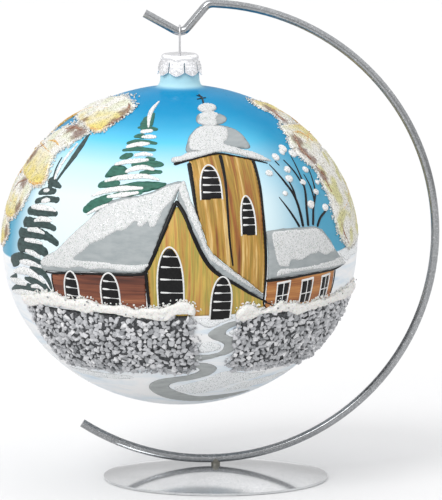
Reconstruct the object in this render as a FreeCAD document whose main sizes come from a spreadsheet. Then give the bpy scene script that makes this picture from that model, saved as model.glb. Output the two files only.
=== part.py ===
"""Souvenir glass bauble with a raised winter scene, hanging from a hooped wire stand.

Row frame, in millimetres: +Z up, +X to the right as the scene is looked at, -Y towards the viewer. The
origin is on the table, under the middle of the whole object. The bauble is an oblate glass shell. Its
decoration is laid on the glass as thin raised pieces, whose places are given as longitude (degrees, 0
facing -Y, positive towards +X) and height (millimetres above the bauble's centre).
"""
import FreeCAD, Part

import math
import os

import Sketcher

Vector = FreeCAD.Vector

SIZES = {
    # stand
    "base_x": -1.95,
    "base_radius": 47.5,
    "base_height": 5.6,
    "base_sheet": 1.0,
    "base_rim": 1.2,
    "base_hole_radius": 1.7,
    "hoop_x": -6.25,
    "hoop_z": 105.5,
    "hoop_radius": 97.3,
    "hoop_wire_radius": 1.8,
    "hoop_tail_angle": 237.5,
    "hoop_top_angle": 87.4,
    "top_bend_radius": 4.5,
    "hook_bend_radius": 4.1,
    "hook_z": 190.9,
    "hook_right_slope": 50.0,
    "hook_left_slope": 29.2,
    "hook_tip_length": 18.1,
    "stud_radius": 1.5,
    "stud_end_z": 1.3,
    "collar_radius": 1.9,
    "washer_radius": 3.5,
    "washer_thickness": 0.5,
    "nut_across_flats": 5.5,
    "nut_thickness": 1.8,
    "fastener_gap": 0.04,
    # bauble
    "ball_x": -17.05,
    "ball_z": 100.1,
    "ball_radius": 75.0,
    "ball_half_height": 67.7,
    "glass_wall": 1.1,
    "neck_foot_radius": 8.3,
    "neck_foot_z": 71.0,
    "neck_top_radius": 7.2,
    "neck_top_z": 80.8,
    "neck_fillet": 3.2,
    "pip_radius": 1.3,
    "pip_drop": 1.0,
    # cap and hanger
    "cap_top_z": 181.4,
    "cap_sheet": 0.3,
    "cap_top_radius": 7.3,
    "cap_shoulder_radius": 8.05,
    "cap_shoulder_drop": 0.8,
    "cap_tip_radius": 9.1,
    "cap_height": 8.4,
    "cap_turn": 13.5,
    "petal_count": 8.0,
    "petal_slit_top": 2.4,
    "petal_slit_width": 0.5,
    "petal_point": 1.9,
    "hanger_wire_radius": 0.45,
    "hanger_leg_offset": 3.05,
    "hanger_hole_radius": 0.7,
    "hanger_play": 0.15,
    "hanger_bend_z": 179.3,
    "hanger_knee_offset": 7.0,
    "hanger_knee_z": 167.4,
    "hanger_foot_offset": 11.8,
    "hanger_foot_z": 158.0,
    "hanger_bend_radius": 1.6,
    # decoration: how far each layer stands off the glass, and how thick it is
    "relief_gap": 0.05,
    "paint_thickness": 0.35,
    "window_lift": 0.45,
    "window_thickness": 0.25,
    "snow_thickness": 0.6,
    "petal_relief_thickness": 0.9,
    "stone_thickness": 1.6,
    "snow_ridge_thickness": 2.1,
    "wall_top": -19.4,
    "wall_bottom": -45.0,
    "ridge_top": -14.8,
    "ridge_bottom": -19.2,
    "gate_left": 4.5,
    "gate_right": 20.5,
    "wall_left_end": -63.5,
    "wall_right_end": 118.0,
}

# Outlines of the raised pieces, as (longitude, height) pairs. Their sides follow the ball.
NAVE_WALL = [(-46.0, -14.2), (-46.0, -4.9), (-11.6, -2.6), (-11.6, -14.2)]
NAVE_ROOF = [(-51.0, -3.0), (-45.0, 6.0), (-36.0, 19.0), (-24.0, 29.0), (-6.0, 34.5), (-2.0, 30.5),
             (-6.5, 17.0), (-11.2, -1.4), (-46.5, -4.2)]
GABLE_WALL = [(-11.0, -14.2), (-11.0, -0.5), (-1.3, 26.5), (4.6, 10.5), (9.4, -0.6), (20.0, -9.6),
              (26.5, -14.2)]
GABLE_EAVE = [(-1.6, 31.0), (-1.8, 36.0), (1.8, 35.6), (5.8, 22.4), (9.8, 8.0), (16.0, 0.4), (28.0, -11.4),
              (28.0, -13.6), (19.0, -8.0), (9.6, 1.0), (5.4, 10.8)]
TOWER_WALL = [(6.4, 23.0), (3.6, 43.2), (17.0, 44.6), (30.6, 42.4), (28.2, 16.0), (28.0, -10.4),
              (16.4, 1.2), (10.4, 8.4)]
TOWER_ROOF = [(-3.6, 43.6), (-3.4, 45.2), (3.0, 47.2), (3.4, 52.0), (10.0, 55.4), (12.0, 60.0),
              (19.0, 63.6), (26.0, 60.6), (26.6, 56.0), (33.0, 51.6), (33.0, 48.0), (39.0, 43.0),
              (31.0, 43.4), (17.0, 45.8)]
WING_WALL = [(29.4, -14.2), (29.4, -6.6), (59.6, -6.2), (59.6, -14.2)]
WING_ROOF = [(29.0, -5.6), (29.0, 14.4), (51.0, 14.4), (60.0, 3.6), (66.5, -5.0)]
FIR_CENTRE = [(-26.0, 30.6), (-31.0, 37.5), (-24.0, 45.0), (-25.0, 55.0), (-21.5, 63.6), (-17.0, 55.0),
              (-12.0, 44.0), (-7.0, 37.0)]
FIR_LEFT = [(-74.0, -6.0), (-61.0, 14.0), (-57.0, 30.0), (-53.5, 48.0), (-50.5, 30.0), (-46.5, 11.0),
            (-52.5, -1.0), (-50.0, -6.0)]
GARDEN_PATH = [(12.4, -27.4), (14.0, -24.8), (17.4, -22.8), (19.4, -23.6), (16.4, -26.6), (18.6, -28.6),
               (20.2, -32.2), (19.2, -37.0), (13.0, -40.4), (8.6, -42.4), (13.6, -44.2), (12.0, -47.6),
               (2.0, -50.2), (-7.0, -52.4), (-8.6, -55.6), (2.0, -58.4), (30.0, -60.0),
               (30.0, -61.6), (0.0, -61.0), (-14.0, -58.6),
               (-17.4, -54.8), (-13.4, -50.8), (2.4, -47.2), (7.6, -45.0), (5.6, -42.2), (6.0, -38.8),
               (13.6, -36.6), (16.0, -33.0), (13.0, -30.2)]

# Arched windows: (longitude, sill height, half width in degrees, height)
ARCHED_WINDOWS = [(-37.6, -13.6, 2.4, 9.6), (-23.4, -13.6, 2.8, 11.0), (-3.4, -13.6, 3.6, 22.0),
                  (13.0, -13.4, 3.0, 9.2), (11.0, 28.4, 3.0, 12.4), (23.0, 14.4, 2.4, 14.4)]
SQUARE_WINDOWS = [(35.4, -13.6, 2.2, 6.4), (45.4, -13.6, 2.2, 6.4), (54.4, -13.6, 1.9, 6.4)]

# Glittered petals: (longitude, height, half length, half width, tilt in degrees from level)
PETALS_LEFT = [(-68.0, 57.4, 17.0, 4.6, 3.0), (-76.0, 41.0, 15.0, 8.6, 22.0),
               (-86.0, 21.6, 14.0, 7.4, 12.0), (-96.0, 5.0, 13.0, 6.6, -12.0),
               (-124.0, 48.0, 15.0, 6.0, -10.0), (-124.0, 22.0, 16.0, 8.0, -16.0)]
PETALS_RIGHT = [(84.0, 57.0, 13.0, 4.0, -4.0), (76.0, 46.4, 13.0, 4.4, -8.0),
                (84.0, 23.0, 18.0, 16.0, -30.0), (126.0, 50.0, 15.0, 6.0, 12.0),
                (126.0, 20.0, 16.0, 8.0, 14.0)]


def make_sheet(document):
    """The spreadsheet that holds every driving dimension, one alias to a row."""
    sheet = document.addObject("Spreadsheet::Sheet", "Sizes")
    for row, (alias, value) in enumerate(SIZES.items(), start=1):
        sheet.set(f"A{row}", alias.replace("_", " "))
        sheet.set(f"B{row}", str(value))
        sheet.setAlias(f"B{row}", alias)
    document.recompute()
    return sheet


doc = FreeCAD.newDocument("hanging_bauble")
sizes = make_sheet(doc)


def size(alias):
    """A driving dimension, read back from the spreadsheet."""
    return float(getattr(sizes, alias))


def bind(item, **expressions):
    """Binds properties to the sheet. A double underscore in a name stands for a dot."""
    for name, expression in expressions.items():
        item.setExpression(name.replace("__", "."), expression)


def place_on_ball(item):
    """Moves a piece that was modelled around the bauble's centre to where the bauble hangs."""
    bind(item, Placement__Base__x="Sizes.ball_x", Placement__Base__z="Sizes.ball_z")


def feature(name, shape):
    """A Part::Feature holding a helper shape or a solid that no primitive makes."""
    item = doc.addObject("Part::Feature", name)
    item.Shape = shape
    return item


def origin_plane(body, role):
    """One of a body's own origin planes."""
    return next(item for item in body.Origin.OriginFeatures if item.Role == role)


def new_body(name):
    return doc.addObject("PartDesign::Body", name)


def new_sketch(body, name, role):
    """A sketch on one of the body's origin planes."""
    sketch = body.newObject("Sketcher::SketchObject", name)
    sketch.AttachmentSupport = (origin_plane(body, role), [""])
    sketch.MapMode = "FlatFace"
    return sketch


def pin_vertex(sketch, edge, end, across, up):
    """Holds one end of an edge at a place worked out from the sheet. Each place is (value, expression)."""
    for kind, axis, (value, expression) in (("DistanceX", -2, across), ("DistanceY", -1, up)):
        if expression is None:
            sketch.addConstraint(Sketcher.Constraint("PointOnObject", edge, end, axis))
            continue
        number = sketch.addConstraint(Sketcher.Constraint(kind, -1, 1, edge, end, value))
        sketch.setExpression(f"Constraints[{number}]", expression)


def sketch_polygon(sketch, corners):
    """A closed polygon whose corners are pairs of (value, expression)."""
    places = [Vector(across[0], up[0], 0) for across, up in corners]
    first = len(sketch.Geometry)
    for here, there in zip(places, places[1:] + places[:1]):
        sketch.addGeometry(Part.LineSegment(here, there), False)
    for index in range(len(places)):
        after = first + (index + 1) % len(places)
        sketch.addConstraint(Sketcher.Constraint("Coincident", first + index, 2, after, 1))
    for index, (across, up) in enumerate(corners):
        pin_vertex(sketch, first + index, 1, across, up)


ZERO = (0.0, None)


def base_dome():
    """Pressed steel foot: a shallow dome on a flat rim, with a hole for the stud at its crown."""
    radius, height, sheet_metal = size("base_radius"), size("base_height"), size("base_sheet")
    hole, rim = size("base_hole_radius"), size("base_rim")
    body = new_body("base_dome")
    sketch = new_sketch(body, "base_profile", "XZ_Plane")

    def crown_arc(edge_x, edge_z, crown_z):
        """The arc centred on the axis that runs from the hole to the rim."""
        drop = crown_z - edge_z
        curve = (edge_x ** 2 + drop ** 2) / (2 * drop)
        centre = crown_z - curve
        return curve, centre, centre + math.sqrt(curve ** 2 - hole ** 2)

    outer_curve, outer_centre, outer_top = crown_arc(radius, sheet_metal, height)
    inner_curve, inner_centre, inner_top = crown_arc(radius - rim, 0.0, height - sheet_metal)
    circle = Part.Circle(Vector(0, outer_centre, 0), Vector(0, 0, 1), outer_curve)
    start = math.atan2(sheet_metal - outer_centre, radius)
    end = math.atan2(outer_top - outer_centre, hole)
    sketch.addGeometry(Part.ArcOfCircle(circle, start, end), False)
    circle = Part.Circle(Vector(0, inner_centre, 0), Vector(0, 0, 1), inner_curve)
    start = math.atan2(-inner_centre, radius - rim)
    end = math.atan2(inner_top - inner_centre, hole)
    sketch.addGeometry(Part.ArcOfCircle(circle, start, end), False)
    runs = (
        ((hole, outer_top), (hole, inner_top)),
        ((radius - rim, 0.0), (radius, 0.0)),
        ((radius, 0.0), (radius, sheet_metal)),
    )
    for here, there in runs:
        sketch.addGeometry(Part.LineSegment(Vector(*here, 0), Vector(*there, 0)), False)
    joins = ((0, 2, 2, 1), (2, 2, 1, 2), (1, 1, 3, 1), (3, 2, 4, 1), (4, 2, 0, 1))
    for edge_a, end_a, edge_b, end_b in joins:
        sketch.addConstraint(Sketcher.Constraint("Coincident", edge_a, end_a, edge_b, end_b))
    sketch.addConstraint(Sketcher.Constraint("PointOnObject", 0, 3, -2))
    sketch.addConstraint(Sketcher.Constraint("PointOnObject", 1, 3, -2))
    sketch.addConstraint(Sketcher.Constraint("Vertical", 2))
    pin_vertex(sketch, 3, 1, (radius - rim, "Sizes.base_radius - Sizes.base_rim"), ZERO)
    pin_vertex(sketch, 4, 1, (radius, "Sizes.base_radius"), ZERO)
    pin_vertex(sketch, 4, 2, (radius, "Sizes.base_radius"), (sheet_metal, "Sizes.base_sheet"))
    number = sketch.addConstraint(Sketcher.Constraint("DistanceX", -1, 1, 2, 1, hole))
    sketch.setExpression(f"Constraints[{number}]", "Sizes.base_hole_radius")
    drop = "(Sizes.base_height - Sizes.base_sheet)"
    number = sketch.addConstraint(Sketcher.Constraint("Radius", 0, outer_curve))
    sketch.setExpression(f"Constraints[{number}]", f"(Sizes.base_radius ^ 2 + {drop} ^ 2) / (2 * {drop})")
    number = sketch.addConstraint(Sketcher.Constraint("Radius", 1, inner_curve))
    edge = "(Sizes.base_radius - Sizes.base_rim)"
    sketch.setExpression(f"Constraints[{number}]", f"({edge} ^ 2 + {drop} ^ 2) / (2 * {drop})")
    revolution = body.newObject("PartDesign::Revolution", "base_turning")
    revolution.Profile = sketch
    revolution.ReferenceAxis = (sketch, ["V_Axis"])
    revolution.Angle = 360.0
    bind(body, Placement__Base__x="Sizes.base_x")
    return body


def rounded_run(corners, radii):
    """Straight edges through the corners, with a tangent arc of the given radius at each inner one."""
    edges = []
    here = corners[0]
    for corner, after, radius in zip(corners[1:-1], corners[2:], radii):
        back = (here - corner).normalize()
        on = (after - corner).normalize()
        half = back.getAngle(on) / 2
        reach = radius / math.tan(half)
        middle = (back + on).normalize() * (radius / math.sin(half) - radius)
        start, finish = corner + back * reach, corner + on * reach
        edges.append(Part.LineSegment(here, start).toShape())
        edges.append(Part.Arc(start, corner + middle, finish).toShape())
        here = finish
    edges.append(Part.LineSegment(here, corners[-1]).toShape())
    return edges


def wire_along(name, path_edges, start, heading, radius_expression):
    """A round wire swept along a path of lines and tangent arcs."""
    path = feature(f"{name}_path", Part.Wire(path_edges))
    ring = doc.addObject("Part::Circle", f"{name}_section")
    ring.Placement = FreeCAD.Placement(start, FreeCAD.Rotation(Vector(0, 0, 1), heading))
    bind(ring, Radius=radius_expression)
    sweep = doc.addObject("Part::Sweep", name)
    sweep.Sections = [ring]
    sweep.Spine = (path, [])
    sweep.Solid = True
    sweep.Frenet = False
    return sweep


def hoop_point(angle):
    """A point on the hoop's centreline, with its angle in degrees from +X."""
    turn = math.radians(angle)
    return Vector(size("hoop_x") + size("hoop_radius") * math.cos(turn), 0,
                  size("hoop_z") + size("hoop_radius") * math.sin(turn))


def hook_corner():
    """Where the centrelines of the hook's two legs would cross, below the bend that the hanger rests in."""
    left, right = math.radians(size("hook_left_slope")), math.radians(size("hook_right_slope"))
    bend = size("hook_bend_radius")
    half = (math.pi - left - right) / 2
    lean = (math.pi - left + right) / 2
    centre_from_corner = bend / math.sin(half)
    return Vector(size("ball_x") - centre_from_corner * math.cos(lean), 0,
                  size("hook_z") + bend - centre_from_corner * math.sin(lean))


def hoop_wire():
    """The stand's bent rod: a tail, the big hoop, and the open V hook at its upper end."""
    tail, top = size("hoop_tail_angle"), size("hoop_top_angle")
    arc_start, arc_end = hoop_point(tail), hoop_point(top)
    arc_middle = hoop_point((tail + top + 360.0) / 2)
    corner = hook_corner()
    right, left = math.radians(size("hook_right_slope")), math.radians(size("hook_left_slope"))
    tangent = Vector(-math.sin(math.radians(top)), 0, math.cos(math.radians(top)))
    rise = Vector(math.cos(right), 0, math.sin(right))
    # the shoulder is where the hoop's end tangent meets the line of the hook's right leg
    gap = corner - arc_end
    reach = (gap.x * rise.z - gap.z * rise.x) / (tangent.x * rise.z - tangent.z * rise.x)
    shoulder = arc_end + tangent * reach
    tip = corner + Vector(-math.cos(left), 0, math.sin(left)) * size("hook_tip_length")
    edges = [Part.Arc(arc_start, arc_middle, arc_end).toShape()]
    bends = [size("top_bend_radius"), size("hook_bend_radius")]
    edges += rounded_run([arc_end, shoulder, corner, tip], bends)
    heading = Vector(-math.sin(math.radians(tail)), 0, math.cos(math.radians(tail)))
    return wire_along("hoop_wire", edges, arc_start, heading, "Sizes.hoop_wire_radius")


def cylinder(name, radius, bottom, height):
    """An upright cylinder on the base's axis, with its sizes bound to the sheet."""
    item = doc.addObject("Part::Cylinder", name)
    bind(item, Radius=radius, Height=height, Placement__Base__x="Sizes.base_x", Placement__Base__z=bottom)
    return item


def hoop_stud(hoop):
    """Stud under the hoop: a collar coped to the wire, and a shank that goes down through the base."""
    collar = cylinder("stud_collar", "Sizes.collar_radius", "Sizes.base_height + 0.02",
                      "2 * Sizes.collar_radius")
    shank = cylinder("stud_shank", "Sizes.stud_radius", "Sizes.stud_end_z",
                     "Sizes.base_height - Sizes.stud_end_z + Sizes.collar_radius")
    blank = doc.addObject("Part::MultiFuse", "stud_blank")
    blank.Shapes = [collar, shank]
    wire_seat = doc.addObject("Part::Box", "stud_limit")
    bind(wire_seat, Length="20", Width="20", Height="20", Placement__Base__x="Sizes.base_x - 10",
         Placement__Base__y="-10", Placement__Base__z="Sizes.hoop_z - Sizes.hoop_radius")
    coping = doc.addObject("Part::MultiFuse", "stud_coping")
    coping.Shapes = [hoop, wire_seat]
    stud = doc.addObject("Part::Cut", "hoop_stud")
    stud.Base = blank
    stud.Tool = coping
    return stud


def ring_body(name, outer, inner, bottom, height):
    """A flat ring padded from a sketch of two circles."""
    body = new_body(name)
    sketch = new_sketch(body, f"{name}_rings", "XY_Plane")
    for index, expression in enumerate((outer, inner)):
        sketch.addGeometry(Part.Circle(Vector(0, 0, 0), Vector(0, 0, 1), 3.0 - index), False)
        sketch.addConstraint(Sketcher.Constraint("Coincident", index, 3, -1, 1))
        number = sketch.addConstraint(Sketcher.Constraint("Radius", index, 3.0 - index))
        sketch.setExpression(f"Constraints[{number}]", expression)
    pad = body.newObject("PartDesign::Pad", f"{name}_pad")
    pad.Profile = sketch
    bind(pad, Length=height)
    bind(body, Placement__Base__x="Sizes.base_x", Placement__Base__z=bottom)
    return body


WASHER_BOTTOM = "Sizes.base_height - Sizes.base_sheet - Sizes.fastener_gap - Sizes.washer_thickness"


def base_nut():
    """Thin hexagon nut that draws the hoop down on the base from below."""
    body = new_body("base_nut")
    sketch = new_sketch(body, "nut_outline", "XY_Plane")
    corner = size("nut_across_flats") / math.sqrt(3)
    corners = [Vector(corner * math.cos(math.radians(60 * k)), corner * math.sin(math.radians(60 * k)), 0)
               for k in range(6)]
    for here, there in zip(corners, corners[1:] + corners[:1]):
        sketch.addGeometry(Part.LineSegment(here, there), False)
    guide = sketch.addGeometry(Part.Circle(Vector(0, 0, 0), Vector(0, 0, 1), corner), True)
    sketch.addConstraint(Sketcher.Constraint("Coincident", guide, 3, -1, 1))
    number = sketch.addConstraint(Sketcher.Constraint("Radius", guide, corner))
    sketch.setExpression(f"Constraints[{number}]", "Sizes.nut_across_flats / sqrt(3)")
    for k in range(6):
        sketch.addConstraint(Sketcher.Constraint("Coincident", k, 2, (k + 1) % 6, 1))
        sketch.addConstraint(Sketcher.Constraint("PointOnObject", k, 1, guide))
        if k:
            sketch.addConstraint(Sketcher.Constraint("Equal", 0, k))
    sketch.addConstraint(Sketcher.Constraint("PointOnObject", 0, 1, -1))
    pad = body.newObject("PartDesign::Pad", "nut_pad")
    pad.Profile = sketch
    bind(pad, Length="Sizes.nut_thickness")
    bore = new_sketch(body, "nut_bore", "XY_Plane")
    bore.addGeometry(Part.Circle(Vector(0, 0, 0), Vector(0, 0, 1), 1.5), False)
    bore.addConstraint(Sketcher.Constraint("Coincident", 0, 3, -1, 1))
    number = bore.addConstraint(Sketcher.Constraint("Radius", 0, 1.5))
    bore.setExpression(f"Constraints[{number}]", "Sizes.stud_radius + Sizes.fastener_gap")
    pocket = body.newObject("PartDesign::Pocket", "nut_thread_hole")
    pocket.Profile = bore
    pocket.Type = "ThroughAll"
    pocket.Midplane = True
    bind(body, Placement__Base__x="Sizes.base_x",
         Placement__Base__z=f"{WASHER_BOTTOM} - Sizes.fastener_gap - Sizes.nut_thickness")
    return body


def ellipse_arc(radius, half_height, z_from, z_to):
    """An arc of the ellipse x = radius cos t, z = half_height sin t, at positive x, between two heights."""
    ellipse = Part.Ellipse(Vector(radius, 0, 0), Vector(0, 0, half_height), Vector(0, 0, 0))
    turns = [math.asin(max(-1.0, min(1.0, z / half_height))) for z in (z_from, z_to)]
    if (ellipse.value(0.5) - Vector(radius * math.cos(0.5), 0, half_height * math.sin(0.5))).Length > 1e-6:
        turns = [-turn for turn in turns]
    return Part.ArcOfEllipse(ellipse, min(turns), max(turns)).toShape()


def as_spline(edge):
    """The same curve as an exact spline, whose surface of revolution has a true bounding box."""
    return edge.Curve.toBSpline(edge.FirstParameter, edge.LastParameter).toShape()


def ball_radius_at(height, lift=0.0):
    """Distance from the bauble's axis to its surface, at a height above its centre."""
    share = height / (size("ball_half_height") + lift)
    return (size("ball_radius") + lift) * math.sqrt(max(0.0, 1.0 - share * share))


def turned(name, profile, angle=360.0):
    """A revolution of a profile about the bauble's axis."""
    item = doc.addObject("Part::Revolution", name)
    item.Source = profile
    item.Axis = (0, 0, 1)
    item.Base = (0, 0, 0)
    item.Angle = angle
    item.Solid = True
    return item


def shoulder_curve(foot_radius, neck_top, spread, lift):
    """From the ball's shoulder to the neck: a curve tangent to both. Returns (curve edge, start, end)."""
    start_x = foot_radius + spread
    a, c = size("ball_radius") + lift, size("ball_half_height") + lift
    start = Vector(start_x, 0, c * math.sqrt(1 - (start_x / a) ** 2))
    end = Vector(foot_radius, 0, neck_top)
    slope = -c * start_x / (a * a * math.sqrt(1 - (start_x / a) ** 2))
    crossing = Vector(foot_radius, 0, start.z + slope * (foot_radius - start_x))
    curve = Part.BezierCurve()
    curve.setPoles([start, crossing, end])
    return curve.toShape(), start, end


def glass_ball():
    """Blown shell: an oblate body that flows into a short open neck, with a sealing pip underneath."""
    wall = size("glass_wall")
    a, c = size("ball_radius"), size("ball_half_height")
    foot, foot_z, spread = size("neck_foot_radius"), size("neck_foot_z"), size("neck_fillet")
    top, top_z = size("neck_top_radius"), size("neck_top_z")
    outer_curve, outer_start, outer_end = shoulder_curve(foot, foot_z, spread, 0.0)
    inner_curve, inner_start, inner_end = shoulder_curve(foot - wall, foot_z, spread, -wall)
    lip_out, lip_in = Vector(top, 0, top_z), Vector(top - wall, 0, top_z)
    lip_middle = Vector(top - wall / 2, 0, top_z + wall * 0.12)
    pip, drop = size("pip_radius"), size("pip_drop")
    pip_start = Vector(pip, 0, -c * math.sqrt(1 - (pip / a) ** 2))
    pip_middle, pip_end = Vector(pip * 0.72, 0, -c - drop * 0.72), Vector(0, 0, -c - drop)
    floor_end = Vector(0, 0, -(c - wall))

    def floor_point(x):
        """A point of the inner surface near the bottom."""
        return Vector(x, 0, floor_end.z * math.sqrt(1 - (x / (a - wall)) ** 2))

    floor_middle, floor_start = floor_point(pip / 2), floor_point(pip)
    edges = [
        as_spline(ellipse_arc(a, c, pip_start.z, outer_start.z)),
        outer_curve,
        Part.LineSegment(outer_end, lip_out).toShape(),
        Part.Arc(lip_out, lip_middle, lip_in).toShape(),
        Part.LineSegment(lip_in, inner_end).toShape(),
        inner_curve,
        as_spline(ellipse_arc(a - wall, c - wall, floor_start.z, inner_start.z)),
        Part.Arc(floor_end, floor_middle, floor_start).toShape(),
        Part.LineSegment(floor_end, pip_end).toShape(),
        Part.Arc(pip_end, pip_middle, pip_start).toShape(),
    ]
    profile = feature("glass_profile", Part.Face(Part.Wire(Part.__sortEdges__(edges))))
    ball = turned("glass_ball", profile)
    place_on_ball(ball)
    return ball


def ornament_cap():
    """Stamped crown cap: a thin cup with a skirt of pointed petals, and two holes for the hanger."""
    body = new_body("ornament_cap")
    sketch = new_sketch(body, "cap_profile", "XZ_Plane")
    sheet_metal, drop = size("cap_sheet"), size("cap_shoulder_drop")
    top, shoulder = size("cap_top_radius"), size("cap_shoulder_radius")
    tip, height = size("cap_tip_radius"), size("cap_height")
    under, lower = (-sheet_metal, "-Sizes.cap_sheet"), (-height, "-Sizes.cap_height")
    sketch_polygon(sketch, [
        (ZERO, ZERO),
        ((top, "Sizes.cap_top_radius"), ZERO),
        ((shoulder, "Sizes.cap_shoulder_radius"), (-drop, "-Sizes.cap_shoulder_drop")),
        ((tip, "Sizes.cap_tip_radius"), lower),
        ((tip - sheet_metal, "Sizes.cap_tip_radius - Sizes.cap_sheet"), lower),
        ((shoulder - sheet_metal, "Sizes.cap_shoulder_radius - Sizes.cap_sheet"),
         (-drop - sheet_metal / 2, "-Sizes.cap_shoulder_drop - Sizes.cap_sheet / 2")),
        ((top - sheet_metal / 2, "Sizes.cap_top_radius - Sizes.cap_sheet / 2"), under),
        (ZERO, under),
    ])
    cup = body.newObject("PartDesign::Revolution", "cap_cup")
    cup.Profile = sketch
    cup.ReferenceAxis = (sketch, ["V_Axis"])
    cup.Angle = 360.0
    doc.recompute()

    slit = new_sketch(body, "petal_gap", "XZ_Plane")
    half_turn = math.pi / size("petal_count")
    reach = tip * math.sin(half_turn)
    corner_z = -height + size("petal_point")
    side = size("petal_slit_width") / 2
    out = "Sizes.cap_tip_radius * sin(180 deg / Sizes.petal_count)"
    below = (-height - 1.0, "-Sizes.cap_height - 1")
    lift = (corner_z, "-Sizes.cap_height + Sizes.petal_point")
    sketch_polygon(slit, [
        (ZERO, (-size("petal_slit_top"), "-Sizes.petal_slit_top")),
        ((side, "Sizes.petal_slit_width / 2"), lift),
        ((reach, out), (-height, "-Sizes.cap_height")),
        ((reach, out), below),
        ((-reach, "-" + out), below),
        ((-reach, "-" + out), (-height, "-Sizes.cap_height")),
        ((-side, "-Sizes.petal_slit_width / 2"), lift),
    ])
    gap = body.newObject("PartDesign::Pocket", "petal_cut")
    gap.Profile = slit
    gap.Midplane = True
    gap.Length = 4 * tip
    doc.recompute()
    pattern = body.newObject("PartDesign::PolarPattern", "petals")
    pattern.Originals = [gap]
    pattern.Axis = (slit, ["V_Axis"])
    pattern.Angle = 180.0 - 360.0 / size("petal_count")
    pattern.Occurrences = int(size("petal_count") / 2)
    body.Tip = pattern
    doc.recompute()

    holes = new_sketch(body, "hanger_holes", "XY_Plane")
    turn = math.radians(size("cap_turn"))
    offset = size("hanger_leg_offset")
    place = Vector(offset * math.sin(turn), offset * math.cos(turn), 0)
    for index, centre in enumerate((place, place * -1)):
        holes.addGeometry(Part.Circle(centre, Vector(0, 0, 1), size("hanger_hole_radius")), False)
        number = holes.addConstraint(Sketcher.Constraint("Radius", index, size("hanger_hole_radius")))
        holes.setExpression(f"Constraints[{number}]", "Sizes.hanger_hole_radius")
    pin_vertex(holes, 0, 3, (place.x, "Sizes.hanger_leg_offset * sin(Sizes.cap_turn * 1 deg)"),
               (place.y, "Sizes.hanger_leg_offset * cos(Sizes.cap_turn * 1 deg)"))
    holes.addConstraint(Sketcher.Constraint("Symmetric", 0, 3, 1, 3, -1, 1))
    drilled = body.newObject("PartDesign::Pocket", "hanger_hole_cut")
    drilled.Profile = holes
    drilled.Midplane = True
    drilled.Length = 4 * sheet_metal
    body.Tip = drilled
    body.Placement = FreeCAD.Placement(Vector(0, 0, 0), FreeCAD.Rotation(Vector(0, 0, 1), 1.0))
    bind(body, Placement__Base__x="Sizes.ball_x", Placement__Base__z="Sizes.cap_top_z",
         Placement__Rotation__Angle="Sizes.cap_turn * 1 deg")
    return body


def hanger_wire():
    """Spring wire: a loop over the hook, two legs through the cap, and feet that spread in the ball."""
    offset, wire = size("hanger_leg_offset"), size("hanger_wire_radius")
    x = size("ball_x")
    crown_z = size("hook_z") + size("hoop_wire_radius") + size("hanger_play") + wire
    loop_z = crown_z - offset
    bend = size("hanger_bend_radius")

    def leg(side):
        """One leg from the loop down to its foot; side is 1 or -1."""
        return [Vector(x, side * offset, loop_z), Vector(x, side * offset, size("hanger_bend_z")),
                Vector(x, side * size("hanger_knee_offset"), size("hanger_knee_z")),
                Vector(x, side * size("hanger_foot_offset"), size("hanger_foot_z"))]

    front, back = leg(-1), leg(1)
    edges = [edge.reversed() for edge in reversed(rounded_run(front, [bend, bend]))]
    edges.append(Part.Arc(front[0], Vector(x, 0, crown_z), back[0]).toShape())
    edges += rounded_run(back, [bend, bend])
    heading = front[2] - front[3]
    return wire_along("hanger_wire", edges, front[3], heading, "Sizes.hanger_wire_radius")


def relief_band(name, lift, thickness, low, high):
    """The section, in the XZ plane, of a layer that lies on the ball between two heights."""
    inner_a, inner_c = size("ball_radius") + lift, size("ball_half_height") + lift
    outer_a, outer_c = inner_a + thickness, inner_c + thickness
    inner = ellipse_arc(inner_a, inner_c, low, high)
    outer = ellipse_arc(outer_a, outer_c, low, high)
    ends = []
    for z in (low, high):
        inside = Vector(ball_radius_at(z, lift), 0, z)
        outside = Vector(ball_radius_at(z, lift + thickness), 0, z)
        ends.append(Part.LineSegment(inside, outside).toShape())
    return feature(name, Part.Face(Part.Wire(Part.__sortEdges__([inner, outer] + ends))))


def wall_sector(name, lift, thickness, low, high, start, span):
    """A stretch of a layer round the ball, from one longitude, on through +X, over a span in degrees."""
    profile = relief_band(f"{name}_section", size(lift), size(thickness), size(low), size(high))
    item = turned(name, profile)
    bind(item, Angle=span)
    item.Placement = FreeCAD.Placement(Vector(0, 0, 0), FreeCAD.Rotation(Vector(0, 0, 1), 1.0))
    bind(item, Placement__Rotation__Angle=f"({start} - 90) * 1 deg")
    place_on_ball(item)
    return item


def on_plane(longitude, height, middle):
    """A point of the ball seen square on from one longitude: (distance to the right, height)."""
    return ball_radius_at(height) * math.sin(math.radians(longitude - middle)), height


def follow_ball(outline, middle, step=6.0):
    """The outline seen square on, with each side divided so that it follows the ball's curve."""
    places = []
    for (lon_a, z_a), (lon_b, z_b) in zip(outline, outline[1:] + outline[:1]):
        length = math.hypot((lon_b - lon_a) * math.radians(size("ball_radius")), z_b - z_a)
        count = max(1, round(length / step))
        for k in range(count):
            share = k / count
            places.append(on_plane(lon_a + (lon_b - lon_a) * share, z_a + (z_b - z_a) * share, middle))
    return places


def prism(name, places, middle):
    """The outline pushed outward from the ball's axis, towards one longitude."""
    turn = math.radians(middle)
    across = Vector(math.cos(turn), math.sin(turn), 0)
    corners = [across * right + Vector(0, 0, up) for right, up in places]
    outline = feature(f"{name}_outline", Part.Face(Part.makePolygon(corners + corners[:1])))
    item = doc.addObject("Part::Extrusion", f"{name}_prism")
    item.Base = outline
    item.DirMode = "Custom"
    item.Dir = Vector(math.sin(turn), -math.cos(turn), 0)
    bind(item, LengthFwd="Sizes.ball_radius + 10")
    item.Solid = True
    return item


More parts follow.
